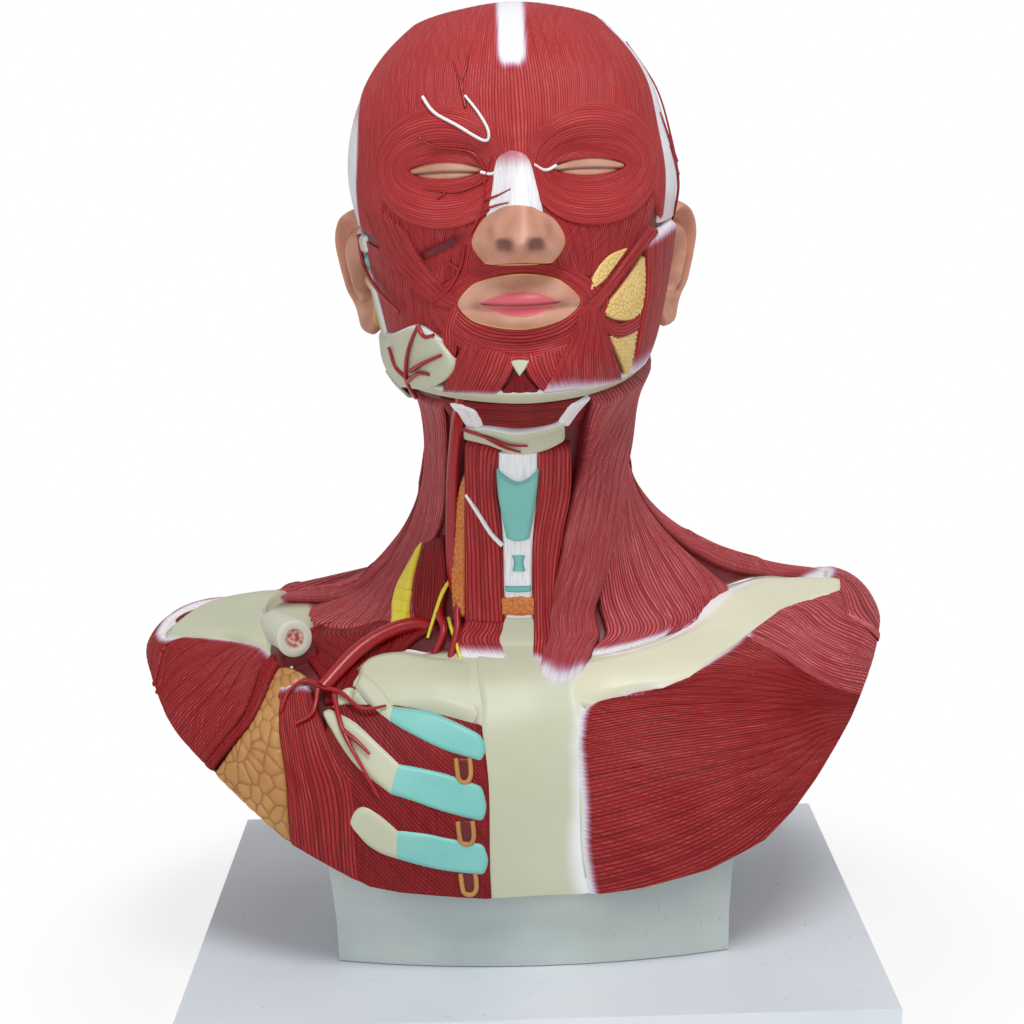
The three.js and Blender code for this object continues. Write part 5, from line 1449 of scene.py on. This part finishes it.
lay_sheet("throat_foot_right", "muscle", [
    front((-33, 187), (-36, 168)),
    front((-23, 187), (-24, 167)),
    front((-12.5, 187), (-12.5, 166)),
], base=1.2, thick=4.8, roll=3, tips=(0, 4), size=2.0, depth=0.45, fade=(0, 14, 0, 0), shade=1.2, step=2,
    seed=68)
lay_sheet("throat_strands_left", "muscle", [
    front((4, 277), (3, 253), (0.5, 229), (0, 200), (-1, 166)),
    front((12, 278), (11, 253), (7, 229), (6, 200), (5, 164)),
    front((20, 279), (20, 254), (16, 231), (12, 200), (10, 168)),
], "throat_muscle_left", base=1.5, thick=5.6, tips=(3, 4), size=2.0, depth=0.45, fade=(0, 8, 0, 0),
    shade=1.2, seed=69)
lay_sheet("chin_floor_strands", "dark_muscle", [
    front((-36, 290), (-18, 290), (-4, 289), (11, 290), (26, 291)),
    front((-42, 304), (-22, 304), (-4, 304), (15, 304), (33, 305)),
], "chin_floor_muscle", base=0.6, thick=3.0, roll=3, tips=(2, 2), size=2.0, seed=70)
lay_sheet("chin_tendon_right", "fascia", [
    front((-36, 303), (-28, 289)),
    front((-30, 303), (-24, 289)),
    front((-23, 300), (-20, 291)),
], base=2.0, roll=2, tips=(2, 2), size=1.6, depth=0.3, shade=0, step=1, seed=70)
lay_sheet("chin_tendon_left", "fascia", [
    front((20, 303), (13, 291)),
    front((25, 304), (16, 290)),
    front((30, 305), (19, 289)),
], base=2.0, roll=2, tips=(2, 2), size=1.6, depth=0.3, shade=0, step=1, seed=70)

# Sides of the neck

lay_sheet("neck_strap_left", "neck_muscle", [
    front((29, 305), (25, 275), (20, 252), (14, 224), (8, 192), (2, 161)),
    left_side((-38, 314)) + front((36, 276), (31, 248), (27, 217), (21, 190), (11, 156)),
    left_side((-10, 326), (-22, 292)) + front((44, 254), (41, 232), (37, 210), (31, 186), (24, 160)),
], "neck_strap_muscle_left", base=3.0, thick=8.5, roll=6, tips=(3, 5), size=2.3, depth=0.55,
    fade=(0, 13, 0, 0), shade=1.5, fine=0.5, seed=71)
lay_sheet("neck_strap_collar_head", "neck_muscle", [
    front((36, 240), (32, 204), (22, 166)),
    front((43, 238), (44, 205), (44, 169)),
    front((46, 234), (55, 206), (66, 173)),
], base=1.5, thick=4.4, roll=3, tips=(4, 5), size=2.3, depth=0.5, fade=(0, 13, 0, 0), shade=1.2, fine=0.5,
    seed=72)


CORD_RINGS = {"from": 178, "turn_per_mm": 0.62, "fade_low": 196, "fade_high": 210}


def ringed(points, layers):
    """The nerve cords end in a few low rings near the collar, with painted shade in the grooves between
    them.
    """
    z = points[..., Z]
    ring = np.abs(np.sin((z - CORD_RINGS["from"]) * CORD_RINGS["turn_per_mm"])) ** 0.35
    low = 1 - smooth_step(CORD_RINGS["fade_low"], CORD_RINGS["fade_high"], z)
    layers["crest"] = layers["crest"] * (1 - low) + ring * low
    points[..., Y] += 0.9 * (1 - ring) * low


lay_sheet("arm_nerve_cords", "nerve", [
    front((-53, 223), (-64, 203), (-70, 190), (-73, 178)),
    front((-52.5, 223), (-60, 203), (-64, 190), (-68, 178)),
    front((-52, 223), (-57, 206), (-60, 191), (-64, 178)),
], "arm_nerves", base=1.5, thick=5.5, roll=3, tips=(8, 2), size=6, depth=0.8, shade=0.8, step=0.6, seed=73,
    painter=ringed)
lay_sheet("neck_deep_muscle_right", "dark_muscle", [
    front((-42, 228), (-41, 207), (-46, 184)),
    front((-47, 226), (-49, 205), (-52, 182)),
    front((-52, 222), (-57, 206), (-59, 184)),
], base=1.0, thick=4.4, tips=(5, 3), size=1.8, depth=0.4, shade=1.2, seed=77)
lay_sheet("collar_hollow_strands", "dark_muscle", [
    front((-112, 176), (-110, 164), (-104, 151)),
    front((-92, 180), (-93, 168), (-95, 153)),
    front((-72, 183), (-75, 174), (-84, 160)),
    front((-50, 184), (-54, 178), (-64, 171)),
], base=0.8, thick=2.8, roll=3, tips=(2, 2), size=1.9, depth=0.45, fine=0.45, step=1.6, seed=98)
lay_sheet("neck_side_strands_right", "neck_muscle", [
    front((-39, 300), (-39, 270), (-42, 238), (-52, 210), (-58, 180)),
    right_side((-52, 302)) + front((-48, 266), (-52, 236), (-62, 208), (-78, 180)),
    right_side((-32, 304), (-28, 262), (-25, 232)) + shoulder_top((-82, -22)) + front((-100, 177)),
    right_side((-12, 306), (-12, 262), (-12, 232)) + shoulder_top((-88, -8), (-116, -14)),
], "neck_side_muscle_right", base=0.8, thick=3.4, roll=4, tips=(2, 3), depth=0.55, shade=1.5, fine=0.5,
    seed=74)
lay_sheet("neck_side_strands_left", "neck_muscle", [
    front((43, 272), (41, 240), (37, 208), (31, 170)),
    left_side((-32, 284)) + front((50, 238), (60, 206), (62, 172)),
    left_side((-24, 288), (-20, 244)) + front((79, 206), (84, 179)),
    left_side((-12, 290), (-12, 246)) + shoulder_top((84, -18), (106, -34)),
], "neck_side_muscle_left", base=0.8, thick=3.4, roll=4, tips=(2, 4), depth=0.6, fade=(0, 7, 0, 0),
    shade=1.5, fine=0.5, seed=75)
both_sides("neck_back_strands", "dark_muscle", [
    right_side((-14, 356), (-14, 300), (-13, 258)),
    right_side((12, 374), (4, 310), (-9, 258)),
    right_side((40, 388), (26, 330), (-4, 262)),
], base=0.5, thick=2.4, roll=3, tips=(4, 3), depth=0.5, fine=0.7, seed=99)


def trapezius_guides(front_edge, second_edge):
    """From the back of the head down over the shoulder, where the two edges end at the shoulder's bone."""
    return [
        behind((-5, 392)) + right_side((32, 345), (4, 296), (-6, 256), (-10, 230))
        + shoulder_top(*front_edge),
        behind((-4, 366), (-28, 316), (-40, 284), (-50, 258), (-70, 228), *second_edge),
        behind(
            (-3, 310), (-12, 272), (-20, 244), (-34, 222), (-60, 204), (-96, 192), (-132, 184), (-166, 180),
        ),
        behind(
            (-2, 120), (-14, 128), (-30, 138), (-50, 148), (-76, 158), (-102, 166), (-130, 172),
            (-156, 176),
        ),
    ]


TRAPEZIUS = dict(
    base=0.8, thick=4.2, roll=5, tips=(4, 4), size=2.8, depth=0.55, fade=(14, 10, 0, 0), shade=1.5,
    torso=True, fine=0.7, step=4, seed=76,
)
lay_sheet("trapezius_strands_right", "neck_muscle", trapezius_guides(
    [(-96, -12), (-118, -10), (-136, -6)], [(-104, 206), (-130, 196), (-150, 189)],
), "trapezius_right", **TRAPEZIUS)
lay_sheet("trapezius_strands_left", "neck_muscle", mirrored(trapezius_guides(
    [(-96, -16), (-130, -16), (-160, -10)], [(-104, 206), (-142, 192), (-172, 184)],
)), "trapezius_left", **TRAPEZIUS)

# Chest and shoulders


def collar_rims(points, layers):
    """The white rims of the collar bone end where it joins the breastbone."""
    layers["fade"] = np.clip(layers["fade"] * 1.7, 0, 1) * smooth_step(22, 50, points[..., X])


lay_moulding("collar_bone", "collar_bone", [
    front((0, 150), (25, 146), (49, 148), (72, 150.5), (90, 161), (112, 172), (127, 177), (160, 180)),
    front((0, 168), (33, 169), (57, 172), (74, 178), (88, 187))
    + shoulder_top((112, -22), (140, -10), (164, -4)),
], "clavicle_left", base=1.6, thick=7.0, roll=12, tips=(40, 5), size=16, depth=0.4, fade=(0, 5, 13, 13),
    shade=0, torso=True, fine=0.9, step=2, seed=81, rise=soft_rise, painter=collar_rims)
lay_moulding("shoulder_bone", "bone", [
    front((-193, 167), (-171, 168.5), (-154, 170.5), (-140, 168), (-121, 164)),
    front((-188, 173), (-171, 176), (-154, 178), (-138, 177), (-121, 174)),
    shoulder_top((-186, -12), (-174, 0), (-158, 7), (-140, 8), (-124, 2)),
], "shoulder_bone_right", base=2.2, thick=7.0, roll=10, tips=(6, 3), size=16, depth=0.4, fade=(6, 0, 7, 6),
    shade=0, torso=True, fine=0.9, step=1.6, seed=82, rise=soft_rise)
# The sawn end of the right collar bone, and the cut muscle round its lower half: the middle of each face,
# half its width and height, and its length.
CUT_END = {"middle": (-119.8, -75, 180.8), "wide": 9.2, "high": 9.6, "long": 40}
CUT_MUSCLE = {"middle": (-118.5, -74, 171.5), "wide": 11.2, "high": 10.5, "long": 34}
CUT_TURN = {"down": math.radians(86), "aside": math.radians(20)}
# How far the stump's edge is rounded off, and how far its spongy middle is sunk
STUMP_EDGE = 0.8
SPONGE_DEPTH = 0.6


def cut_stump(name, paint, size, rim):
    """A sawn round stump that faces forward. rim is the width of the hard rim round its spongy middle,
    as a share of its radius."""
    bpy.ops.object.select_all(action="DESELECT")
    bpy.ops.mesh.primitive_cylinder_add(vertices=72, radius=MM, depth=size["long"] * MM)
    piece = bpy.context.object
    piece.name = name
    piece.data.name = name
    edit(piece, lambda: bpy.ops.mesh.select_all(action="DESELECT"))
    mesh = piece.data
    for face in mesh.polygons:
        face.select = face.normal.z > 0.9
    bpy.ops.object.mode_set(mode="EDIT")
    bpy.ops.mesh.select_mode(type="FACE")
    rounding, hard, step_down, sponge_ring = 0.06, 0.94 * rim, 0.08, 0.2
    for width in (rounding, hard, step_down, sponge_ring, sponge_ring):
        bpy.ops.mesh.inset(thickness=width * MM)
    bpy.ops.object.mode_set(mode="OBJECT")
    points = np.array([vertex.co for vertex in mesh.vertices]) / MM
    away = np.hypot(points[:, 0], points[:, 1])
    top = points[:, 2] > 0
    sponge = (1 - smooth_step(0.86 - rim, 0.95 - rim, away)) * top
    points[:, 2] -= np.where(top, STUMP_EDGE * smooth_step(0.9, 1.0, away) + SPONGE_DEPTH * sponge, 0)
    points *= (size["wide"], size["high"], 1)
    turn_down = np.array(Matrix.Rotation(CUT_TURN["down"], 3, "X"))
    turn_aside = np.array(Matrix.Rotation(CUT_TURN["aside"], 3, "Z"))
    points = (points - (0, 0, size["long"] / 2)) @ turn_down.T @ turn_aside.T + size["middle"]
    mesh.vertices.foreach_set("co", to_real(points).ravel())
    pale_ring = top * smooth_step(0.5, 0.8, away) * (1 - smooth_step(0.93, 1, away))
    for layer_name, values in (("tint", sponge), ("fade", pale_ring)):
        set_attribute(mesh, layer_name, values)
    for layer_name, value in (("crest", 0.6), ("strand", MID_STRAND), ("shade", 0)):
        set_attribute(mesh, layer_name, np.full(len(points), value))
    mesh.update()
    smooth(piece, 50)
    dress(piece, paint)


cut_stump("bone_cut_end", "cut_bone", CUT_END, 0.4)
cut_stump("bone_cut_muscle", "deep_red", CUT_MUSCLE, 0.2)
lay_moulding("breastbone_plate", "bone", [
    front((-29, 168), (-31, 150), (-30, 118), (-30, 79), (-28, 50)),
    front((-14, 189), (-14, 152), (-14, 118), (-14, 79), (-12, 50)),
    front((1, 189), (2, 152), (3, 118), (4, 79), (6, 50)),
    front((14, 166), (26, 150), (25, 118), (25, 79), (29, 50)),
], "breastbone", base=1.6, thick=4.2, roll=8, tips=(4, 0), size=22, depth=0.6, fade=(3, 0, 4, 14), shade=0,
    torso=True, fine=1.0, step=2, seed=83, rise=soft_rise)
lay_moulding("first_rib", "bone", [
    front((-90, 158), (-80, 150.5), (-69, 146.5), (-50, 146.5), (-16, 140)),
    front((-88, 164), (-80, 170), (-64, 172), (-46, 170), (-16, 170)),
], base=1.6, thick=5.2, roll=9, tips=(6, 34), size=16, depth=0.6, fade=(0, 0, 0, 5), shade=0, torso=True,
    fine=1.0, step=1.6, seed=84, rise=soft_rise)
RIBS = {
    "rib_cartilage_2": ("cartilage", [(-71, 143.5), (-61, 139), (-46, 132.5), (-26.5, 126)],
                        [(-70, 147), (-52, 142), (-38, 136.5), (-24.5, 132)],
                        [(-69, 150.5), (-52, 148.5), (-38, 144), (-26.5, 138.5)]),
    "rib_cartilage_3": ("cartilage", [(-71, 112.5), (-61, 109.5), (-46, 104), (-26.5, 98)],
                        [(-69, 120), (-50, 115.5), (-36, 110.5), (-24.5, 106)],
                        [(-66, 127.5), (-51, 124.5), (-38, 120.5), (-26.5, 116)]),
    "rib_cartilage_4": ("cartilage", [(-69, 80.5), (-57, 77), (-46, 74.5), (-26.5, 71.5)],
                        [(-68.5, 88.5), (-50, 85), (-38, 82), (-24.5, 79.5)],
                        [(-68, 96.5), (-57, 95), (-46, 92.5), (-26.5, 88.5)]),
    "rib_bone_2": ("bone", [(-89, 158), (-80, 149.5), (-71, 143.5)], [(-87, 160), (-79, 154), (-70, 147)],
                   [(-86, 163), (-77, 159), (-69, 150.5)]),
    "rib_bone_3": ("bone", [(-103, 145), (-96, 135), (-87, 124.5), (-71, 112.5)],
                   [(-104, 147.5), (-93, 140), (-83.5, 131.5), (-69, 120)],
                   [(-101, 149), (-90, 145.5), (-80, 139), (-66, 127.5)]),
    "rib_bone_4": ("bone", [(-88, 95), (-84, 88.5), (-77, 83.5), (-69, 80.5)],
                   [(-92, 100.5), (-84, 97), (-76, 92), (-68.5, 88.5)],
                   [(-87, 107.5), (-82, 107.5), (-75, 103), (-68, 96.5)]),
}
for rib, (paint, *outline) in RIBS.items():
    bony = paint == "bone"
    lay_moulding(
        rib.replace("rib", "rib_form"), paint, [front(*guide) for guide in outline], rib,
        base=2.4, thick=6.2, roll=4, tips=(3, 0) if bony else (0, 3), size=12,
        fade=(0, 0, 1.5, 1.5) if bony else (0, 0, 0, 0), torso=True, fine=0.7, step=1.2, seed=85,
    )
lay_sheet("rib_gap_strands", "dark_muscle", [
    front((-104, 50), (-104, 90), (-104, 120), (-100, 150)),
    front((-66, 50), (-66, 90), (-66, 120), (-66, 150)),
    front((-23, 50), (-23.5, 90), (-23.5, 120), (-26, 142)),
], "rib_gap_muscle_right", base=2.2, thick=4.8, roll=3, size=2.0, depth=0.45, slant=0.8, torso=True,
    fine=0.45, step=1.2, seed=86)
# The small windows between the ribs beside the breastbone, each from its outer top to its inner bottom
RIB_WINDOWS = [((-38.5, 128.5), (-32, 117)), ((-38.5, 99.5), (-31.5, 87.5)), ((-38, 73.5), (-31, 62))]
lay_vessel("rib_window_strips", "fat", [
    route(
        front, (outer - 0.6, top, 4.2), (outer, (top + bottom) / 2, 5.3), (outer + 0.8, bottom + 2, 5.3),
        ((outer + inner) / 2, bottom + 0.6, 5.2), (inner - 0.8, bottom + 2, 5.3),
        (inner, (top + bottom) / 2, 5.3), (inner - 0.6, top, 4.2),
    )
    for (outer, top), (inner, bottom) in RIB_WINDOWS
], radius=1.25)
for rib_number, ((outer, top), (inner, bottom)) in enumerate(RIB_WINDOWS, start=2):
    lay_moulding("rib_window_hollow_%d" % rib_number, "deep_red", [
        front((outer, bottom), (outer, top)), front((inner, bottom), (inner, top)),
    ], base=4.4, thick=4.9, roll=0.6, tips=(0.6, 0.6), size=8, depth=0.1, shade=0, fine=0.7, step=1.0,
        seed=96)
lay_moulding("rib_form_tip", "bone", [
    front((-100, 148), (-95, 149.5), (-90, 151.5)),
    front((-97.5, 154.5), (-93, 157), (-89, 157.5)),
], base=2.4, thick=5.6, roll=2.5, tips=(2.5, 2.5), size=12, shade=0.6, fine=0.6, step=0.8, seed=97)
lay_sheet("small_chest_fan", "chest_muscle", [
    front((-128, 157), (-124, 128), (-122, 100), (-120, 66)),
    front((-119, 158), (-114, 130), (-108, 100), (-104, 56)),
    front((-112, 158), (-98, 133), (-88, 110), (-84, 50)),
], "small_chest_muscle_right", base=2.4, thick=6.0, roll=4.5, tips=(5, 0), size=2.1, depth=0.5,
    fade=(8, 0, 0, 0), shade=1.5, torso=True, fine=0.5, seed=87)
lay_sheet("chest_fan_left", "chest_muscle", [
    front((24, 44), (70, 50), (106, 66), (130, 86), (148, 109), (168, 117)),
    front((24, 60), (66, 69), (100, 84), (126, 102), (145, 119.5), (170, 121)),
    front((21, 82), (62, 92), (96, 104), (124, 115), (145, 125.5), (171, 123.5)),
    front((21, 104), (62, 113), (96, 119), (124, 125), (145, 130), (171, 125.5)),
    front((20, 124), (60, 130), (94, 132), (122, 133), (145, 134), (172, 127)),
    front((20, 137), (58, 142), (92, 142.5), (120, 140.5), (146, 137.5), (172, 128.5)),
    front((27, 149), (62, 150.5), (94, 149), (122, 145.5), (147, 140), (173, 130)),
    front((59, 153), (84, 155.5), (106, 153), (127, 148.5), (149, 141.5), (174, 131)),
    front((87, 162.5), (103, 160), (119, 156), (135, 150), (152, 143), (175, 132.5)),
    front((106, 171.5), (118, 164.5), (130, 157), (143, 150.5), (156, 144), (176, 134)),
], "chest_muscle_left", base=3.0, thick=6.4, roll=3, tips=(5, 0), size=2.1, depth=0.55, fade=(6, 0, 0, 0),
    shade=1.2, torso=True, fine=0.5, seed=88)
lay_sheet("shoulder_cap_strands_left", "neck_muscle", [
    front((105, 168.5), (137, 151.5), (167, 136.5), (186, 127.5)),
    front((110, 176), (140, 161), (168, 149), (186, 139)),
    front((120, 181.5), (146, 169), (170, 157), (186, 147)),
    front((142, 183), (160, 173.5), (176, 162)) + left_side((-46, 148)),
    shoulder_top((156, -12)) + left_side((-38, 174), (-36, 156), (-34, 126)),
    shoulder_top((158, 6)) + left_side((-4, 176), (-4, 156), (-4, 120)),
    behind((148, 184), (166, 176), (176, 160), (180, 120)),
], "shoulder_cap_left", base=3.0, thick=6.4, roll=(2.5, 4), tips=(5, 0), size=2.3, depth=0.55,
    fade=(6, 0, 0, 0), shade=1.6, torso=True, fine=0.55, seed=89)
lay_sheet("shoulder_cap_strands_right", "chest_muscle", [
    front((-131, 167.5), (-141, 149), (-154, 132), (-170, 108)),
    front((-135, 169.5), (-151, 153), (-166, 136), (-180, 112)),
    front((-142, 170.5), (-162, 158), (-179, 143), (-190, 118)),
    front((-156, 171), (-173, 164), (-187, 152)) + right_side((-54, 130)),
    front((-176, 170.5), (-188, 165)) + right_side((-50, 152), (-52, 128)),
    front((-191, 169)) + right_side((-44, 154), (-46, 130), (-48, 106)),
    shoulder_top((-188, 2)) + right_side((-4, 152), (-4, 104)),
    behind((-160, 180), (-184, 160), (-194, 108)),
], "shoulder_cap_right", base=3.0, thick=6.2, roll=4, tips=(5, 0), size=2.4, depth=0.55, fade=(7, 0, 0, 0),
    shade=1.2, torso=True, fine=0.55, seed=90)
lay_lobes("shoulder_cut_edge", "dark_muscle", [
    front((-124, 166), (-135, 148), (-148, 132), (-166, 108)),
    front((-131, 168), (-141, 149), (-154, 133), (-171, 110)),
], base=3.0, thick=6.6, roll=2.5, tips=(3, 0), size=1.7, depth=0.6, torso=True, fine=0.5, step=0.7, seed=93)
lay_lobes("armpit_fat_lobes", "fat", [
    front((-127, 164), (-137, 147), (-150, 130), (-164, 110), (-172, 96)),
    front((-120, 163), (-130, 141), (-139, 119), (-145, 100), (-148, 80)),
    front((-113, 161), (-124, 143), (-122, 118), (-121, 92), (-116, 66)),
], "armpit_fat_right", base=2.4, thick=5.4, roll=5, tips=(3, 0), size=7.6, depth=1.1, shade=1, torso=True,
    fine=0.65, step=0.8, seed=91)
# The back's strands run across it and rise a little to the sides.
BACK_X = (-190, -140, -70, 0, 70, 120, 168)
lay_sheet("back_strands", "dark_muscle",
    [behind(*[(x, z + abs(x) / 14) for x in BACK_X]) for z in (40, 80, 122, 164)],
    "back_muscle", base=0.8, thick=2.8, roll=4, size=3.2, depth=0.55, shade=0, over_crown=True, torso=True,
    fine=0.8, step=4, seed=92)

# Vessels and nerves

lay_vessel("neck_artery", "artery", [
    route(front, (-31, 305, -1), (-32, 292, 3.5), (-34, 262, 4.8), (-36, 234, 4.4), (-38, 214, 2.5),
          (-39, 200, -1)),
], "carotid_artery", radius=3.4, ends=0.9, sides=16)
lay_vessel("collar_artery", "artery", [
    route(front, (-50, 182, -3), (-58, 180.5, 3.5), (-72, 176, 6.5), (-88, 168, 7), (-104, 156, 6)),
], "subclavian_artery", radius=4.0, ends=0.95, sides=16)
lay_vessel("collar_artery_branches", "artery", [
    route(front, (-104, 156, 6.5), (-112, 158, 7), (-120, 154, 7.5), (-124, 146, 7)),
    route(front, (-104, 156, 6.5), (-95, 154, 7.5), (-84, 148, 8), (-72, 149, 8)),
    route(front, (-98, 153, 6.5), (-93, 140, 7.5), (-84, 126, 8), (-76, 112, 7)),
    route(front, (-106, 155, 7), (-108, 146, 7.5), (-116, 142, 7.5)),
    route(front, (-93, 140, 7.5), (-86, 136, 8), (-80, 131, 8)),
], radius=1.5, ends=0.45)
lay_vessel("throat_tendon_line", "white_nerve", [
    route(front, (-28, 252, 5.0), (-22, 242, 5.9), (-17, 233, 6.0), (-12.5, 227, 5.2)),
], radius=1.2)
lay_vessel("neck_vessel_stubs", "artery", [
    route(front, (-36, 200, -1), (-36, 190, 4.5), (-37, 179, 6), (-42, 168, 1)),
    route(front, (-47, 196, -1), (-45, 187, 4.5), (-44, 178, 5.5), (-50, 170, 1)),
], radius=2.2, ends=0.8, sides=12)
lay_vessel("neck_nerve_threads", "nerve", [
    route(front, (-41, 206, 0), (-43, 198, 4.5), (-47, 186, 5.5), (-53, 177, 1)),
    route(front, (-42, 186, 1), (-40, 180, 5), (-38, 172, 5), (-35, 165, 0)),
], radius=1.2, ends=0.7)
lay_vessel("jaw_artery", "artery", [
    route(right_side, (-58, 382, 3), (-58, 366, 4.2)) + route(front, (-67, 356, 4.5), (-56, 346, 4.5)),
    route(front, (-52, 302, 4), (-53, 315, 6.2), (-51, 328, 6.2), (-47, 340, 5)),
    route(front, (-53, 316, 6.4), (-57, 320, 7.2), (-60, 329, 7)),
    route(front, (-53, 314, 6.2), (-47, 318, 6), (-42, 318, 5.6)),
    route(front, (-50, 319, 6.4), (-44, 323, 6.4), (-36, 327, 5.8)),
    route(front, (-47, 340, 5), (-44, 335, 5), (-40, 336, 4.4)),
], radius=1.3, ends=0.6)
lay_vessel("cheek_artery", "artery", [
    route(front, (-40, 352, 3.5), (-33, 358, 3.2), (-28, 368, 3), (-26, 378, 3)),
    route(front, (-35, 356, 3.3), (-40, 360, 3.2)),
    route(front, (-29, 366, 3), (-34, 370, 2.8)),
], radius=1.0, ends=0.5)
lay_vessel("eye_corner_artery", "artery", [
    route(front, (-24, 382, 2.6), (-18, 394, 3.4), (-16, 408, 3.9), (-13, 418, 3.9)),
    route(front, (-17, 398, 3.8), (-11, 400, 3.8), (-5, 403, 3.9)),
    route(front, (-19, 393, 3.4), (-12, 395.5, 3.8), (-6, 397, 4)),
    route(front, (-15, 408, 3.4), (-20, 405, 3.6), (-30, 402, 3.8), (-44, 404, 3.8)),
    route(front, (-34, 402, 3.8), (-38, 399, 3.8)),
    route(front, (-16, 412, 3.4), (-22, 420, 3.8), (-38, 423, 3.8), (-46, 428, 3.6)),
], radius=0.7, ends=0.4)
lay_vessel("forehead_twigs", "artery", [
    route(front, (-24, 440, 3.4), (-26, 450, 3.4), (-29, 460, 3.4)),
    route(front, (-26, 450, 3.4), (-23, 458, 3.4), (-22, 466, 3.4)),
], radius=0.7, ends=0.35)
lay_vessel("temple_artery_left", "artery", [
    route(left_side, (-40, 384, 2.4), (-52, 402, 2.6), (-56, 424, 2.6), (-50, 448, 2.6), (-40, 470, 2.4)),
    route(left_side, (-54, 412, 2.6), (-64, 424, 2.4), (-66, 436, 2.2)),
    route(left_side, (-53, 406, 2.6), (-62, 412, 2.4), (-66, 420, 2.2)),
], radius=0.8, ends=0.4)
lay_vessel("brow_nerves", "white_nerve", [
    route(front, (-43, 445, 3.6), (-38, 438, 3.8), (-28, 432, 3.8), (-16, 425, 3.6), (-14, 429, 3.6),
          (-18, 437, 3.6), (-24, 445, 3.5)),
    route(front, (-18, 411, 3.4), (-13, 410, 3.2), (-9, 413, 3)),
    route(front, (16, 413, 3.4), (11, 411, 3.2), (6, 414, 3)),
], radius=0.8, ends=0.8)
lay_vessel("tongue_bone_artery", "artery", [
    route(front, (-28, 291, 6.4), (-18, 288, 6.8), (-8, 284, 7.2), (0, 283, 7)),
    route(front, (-18, 288, 6.8), (-10, 282, 7), (-3, 279, 7)),
], radius=1.0, ends=0.5)

# CAD nodes that keep their own shape, and only get their paint

for node, paint in (
    ("base_board", "board"), ("foot", "foot"), ("foot_screw_right", "steel"), ("foot_screw_left", "steel"),
):
    if node in bpy.data.objects:
        for slot in bpy.data.objects[node].material_slots:
            slot.material = PAINTS[paint][0]

# Studio: a pale floor and soft light from above

# How much of the floor the camera sees as plain white light: this share up to the near distance, in metres
# from its middle, and all of it beyond the far one
NEAR_FLOOR = 0.2
FAR_FLOOR = 0.31
PLAIN_SHARE = 0.75
FLOOR_SIZE = 6
# How brightly the sky lights the model, and how bright the camera sees it
SKY_LIGHT = 0.5
SKY_SEEN = 1.0

floor_material = Recipe("studio_floor")
camera_ray = floor_material.add("LightPath")
bright = floor_material.add("Emission")
bright.inputs["Strength"].default_value = 1.0
floor_material.shader.inputs["Base Color"].default_value = (0.9, 0.9, 0.9, 1)
floor_material.shader.inputs["Roughness"].default_value = 0.9
blend_in = floor_material.add("MixShader")
far = floor_material.add("VectorMath", operation="LENGTH")
floor_material.wire(floor_material.place(1), far.inputs[0])
plain = floor_material.span(far.outputs["Value"], NEAR_FLOOR, FAR_FLOOR, PLAIN_SHARE, 1.0)
seen_plain = floor_material.number("MULTIPLY", camera_ray.outputs["Is Camera Ray"], plain)
floor_material.wire(seen_plain, blend_in.inputs[0])
floor_material.wire(floor_material.shader.outputs[0], blend_in.inputs[1])
floor_material.wire(bright.outputs[0], blend_in.inputs[2])
floor_material.wire(blend_in.outputs[0], floor_material.tree.nodes["Material Output"].inputs["Surface"])
bpy.ops.mesh.primitive_plane_add(size=FLOOR_SIZE)
floor = bpy.context.object
floor.name = "studio_floor"
floor.data.materials.append(floor_material.material)

world = bpy.data.worlds.new("studio_world")
bpy.context.scene.world = world
world.use_nodes = True
sky = world.node_tree
path = sky.nodes.new("ShaderNodeLightPath")
strength = sky.nodes.new("ShaderNodeMix")
strength.inputs[2].default_value = SKY_LIGHT
strength.inputs[3].default_value = SKY_SEEN
sky.links.new(path.outputs["Is Camera Ray"], strength.inputs[0])
sky.nodes["Background"].inputs["Color"].default_value = (1, 1, 1, 1)
sky.links.new(strength.outputs[0], sky.nodes["Background"].inputs["Strength"])


LIT_PLACE = (0, 0, 0.3)


def soft_light(name, place, power, size):
    """A round area light that faces the bust."""
    bpy.ops.object.light_add(type="AREA", location=place)
    lamp = bpy.context.object
    lamp.name = name
    lamp.data.energy = power
    lamp.data.shape = "DISK"
    lamp.data.size = size
    aim = Vector(LIT_PLACE) - Vector(place)
    lamp.rotation_euler = aim.to_track_quat("-Z", "Y").to_euler()


soft_light("key_light", (0.35, -1.1, 2.3), power=29, size=0.9)
soft_light("fill_light", (-1.0, -1.9, 1.0), power=7, size=1.4)

# The camera stands where the photograph was taken, a little above the bust and slightly rolled.

CAMERA_PLACE = Vector(to_real(np.array([-8.6, -1156, 430])))
TILT_DOWN = math.radians(9.85)
ROLL = math.radians(1.66)
PICTURE_WIDTH = 1024
LENS_IN_PIXELS = 2200
camera = bpy.data.cameras.new("camera")
camera.sensor_width = 36
camera.lens = camera.sensor_width * LENS_IN_PIXELS / PICTURE_WIDTH
camera_object = bpy.data.objects.new("camera", camera)
bpy.context.scene.collection.objects.link(camera_object)
turned = Matrix.Rotation(math.pi / 2 - TILT_DOWN, 4, "X") @ Matrix.Rotation(-ROLL, 4, "Z")
camera_object.matrix_world = Matrix.Translation(CAMERA_PLACE) @ turned
bpy.context.scene.camera = camera_object

bpy.context.scene.view_settings.view_transform = "Standard"
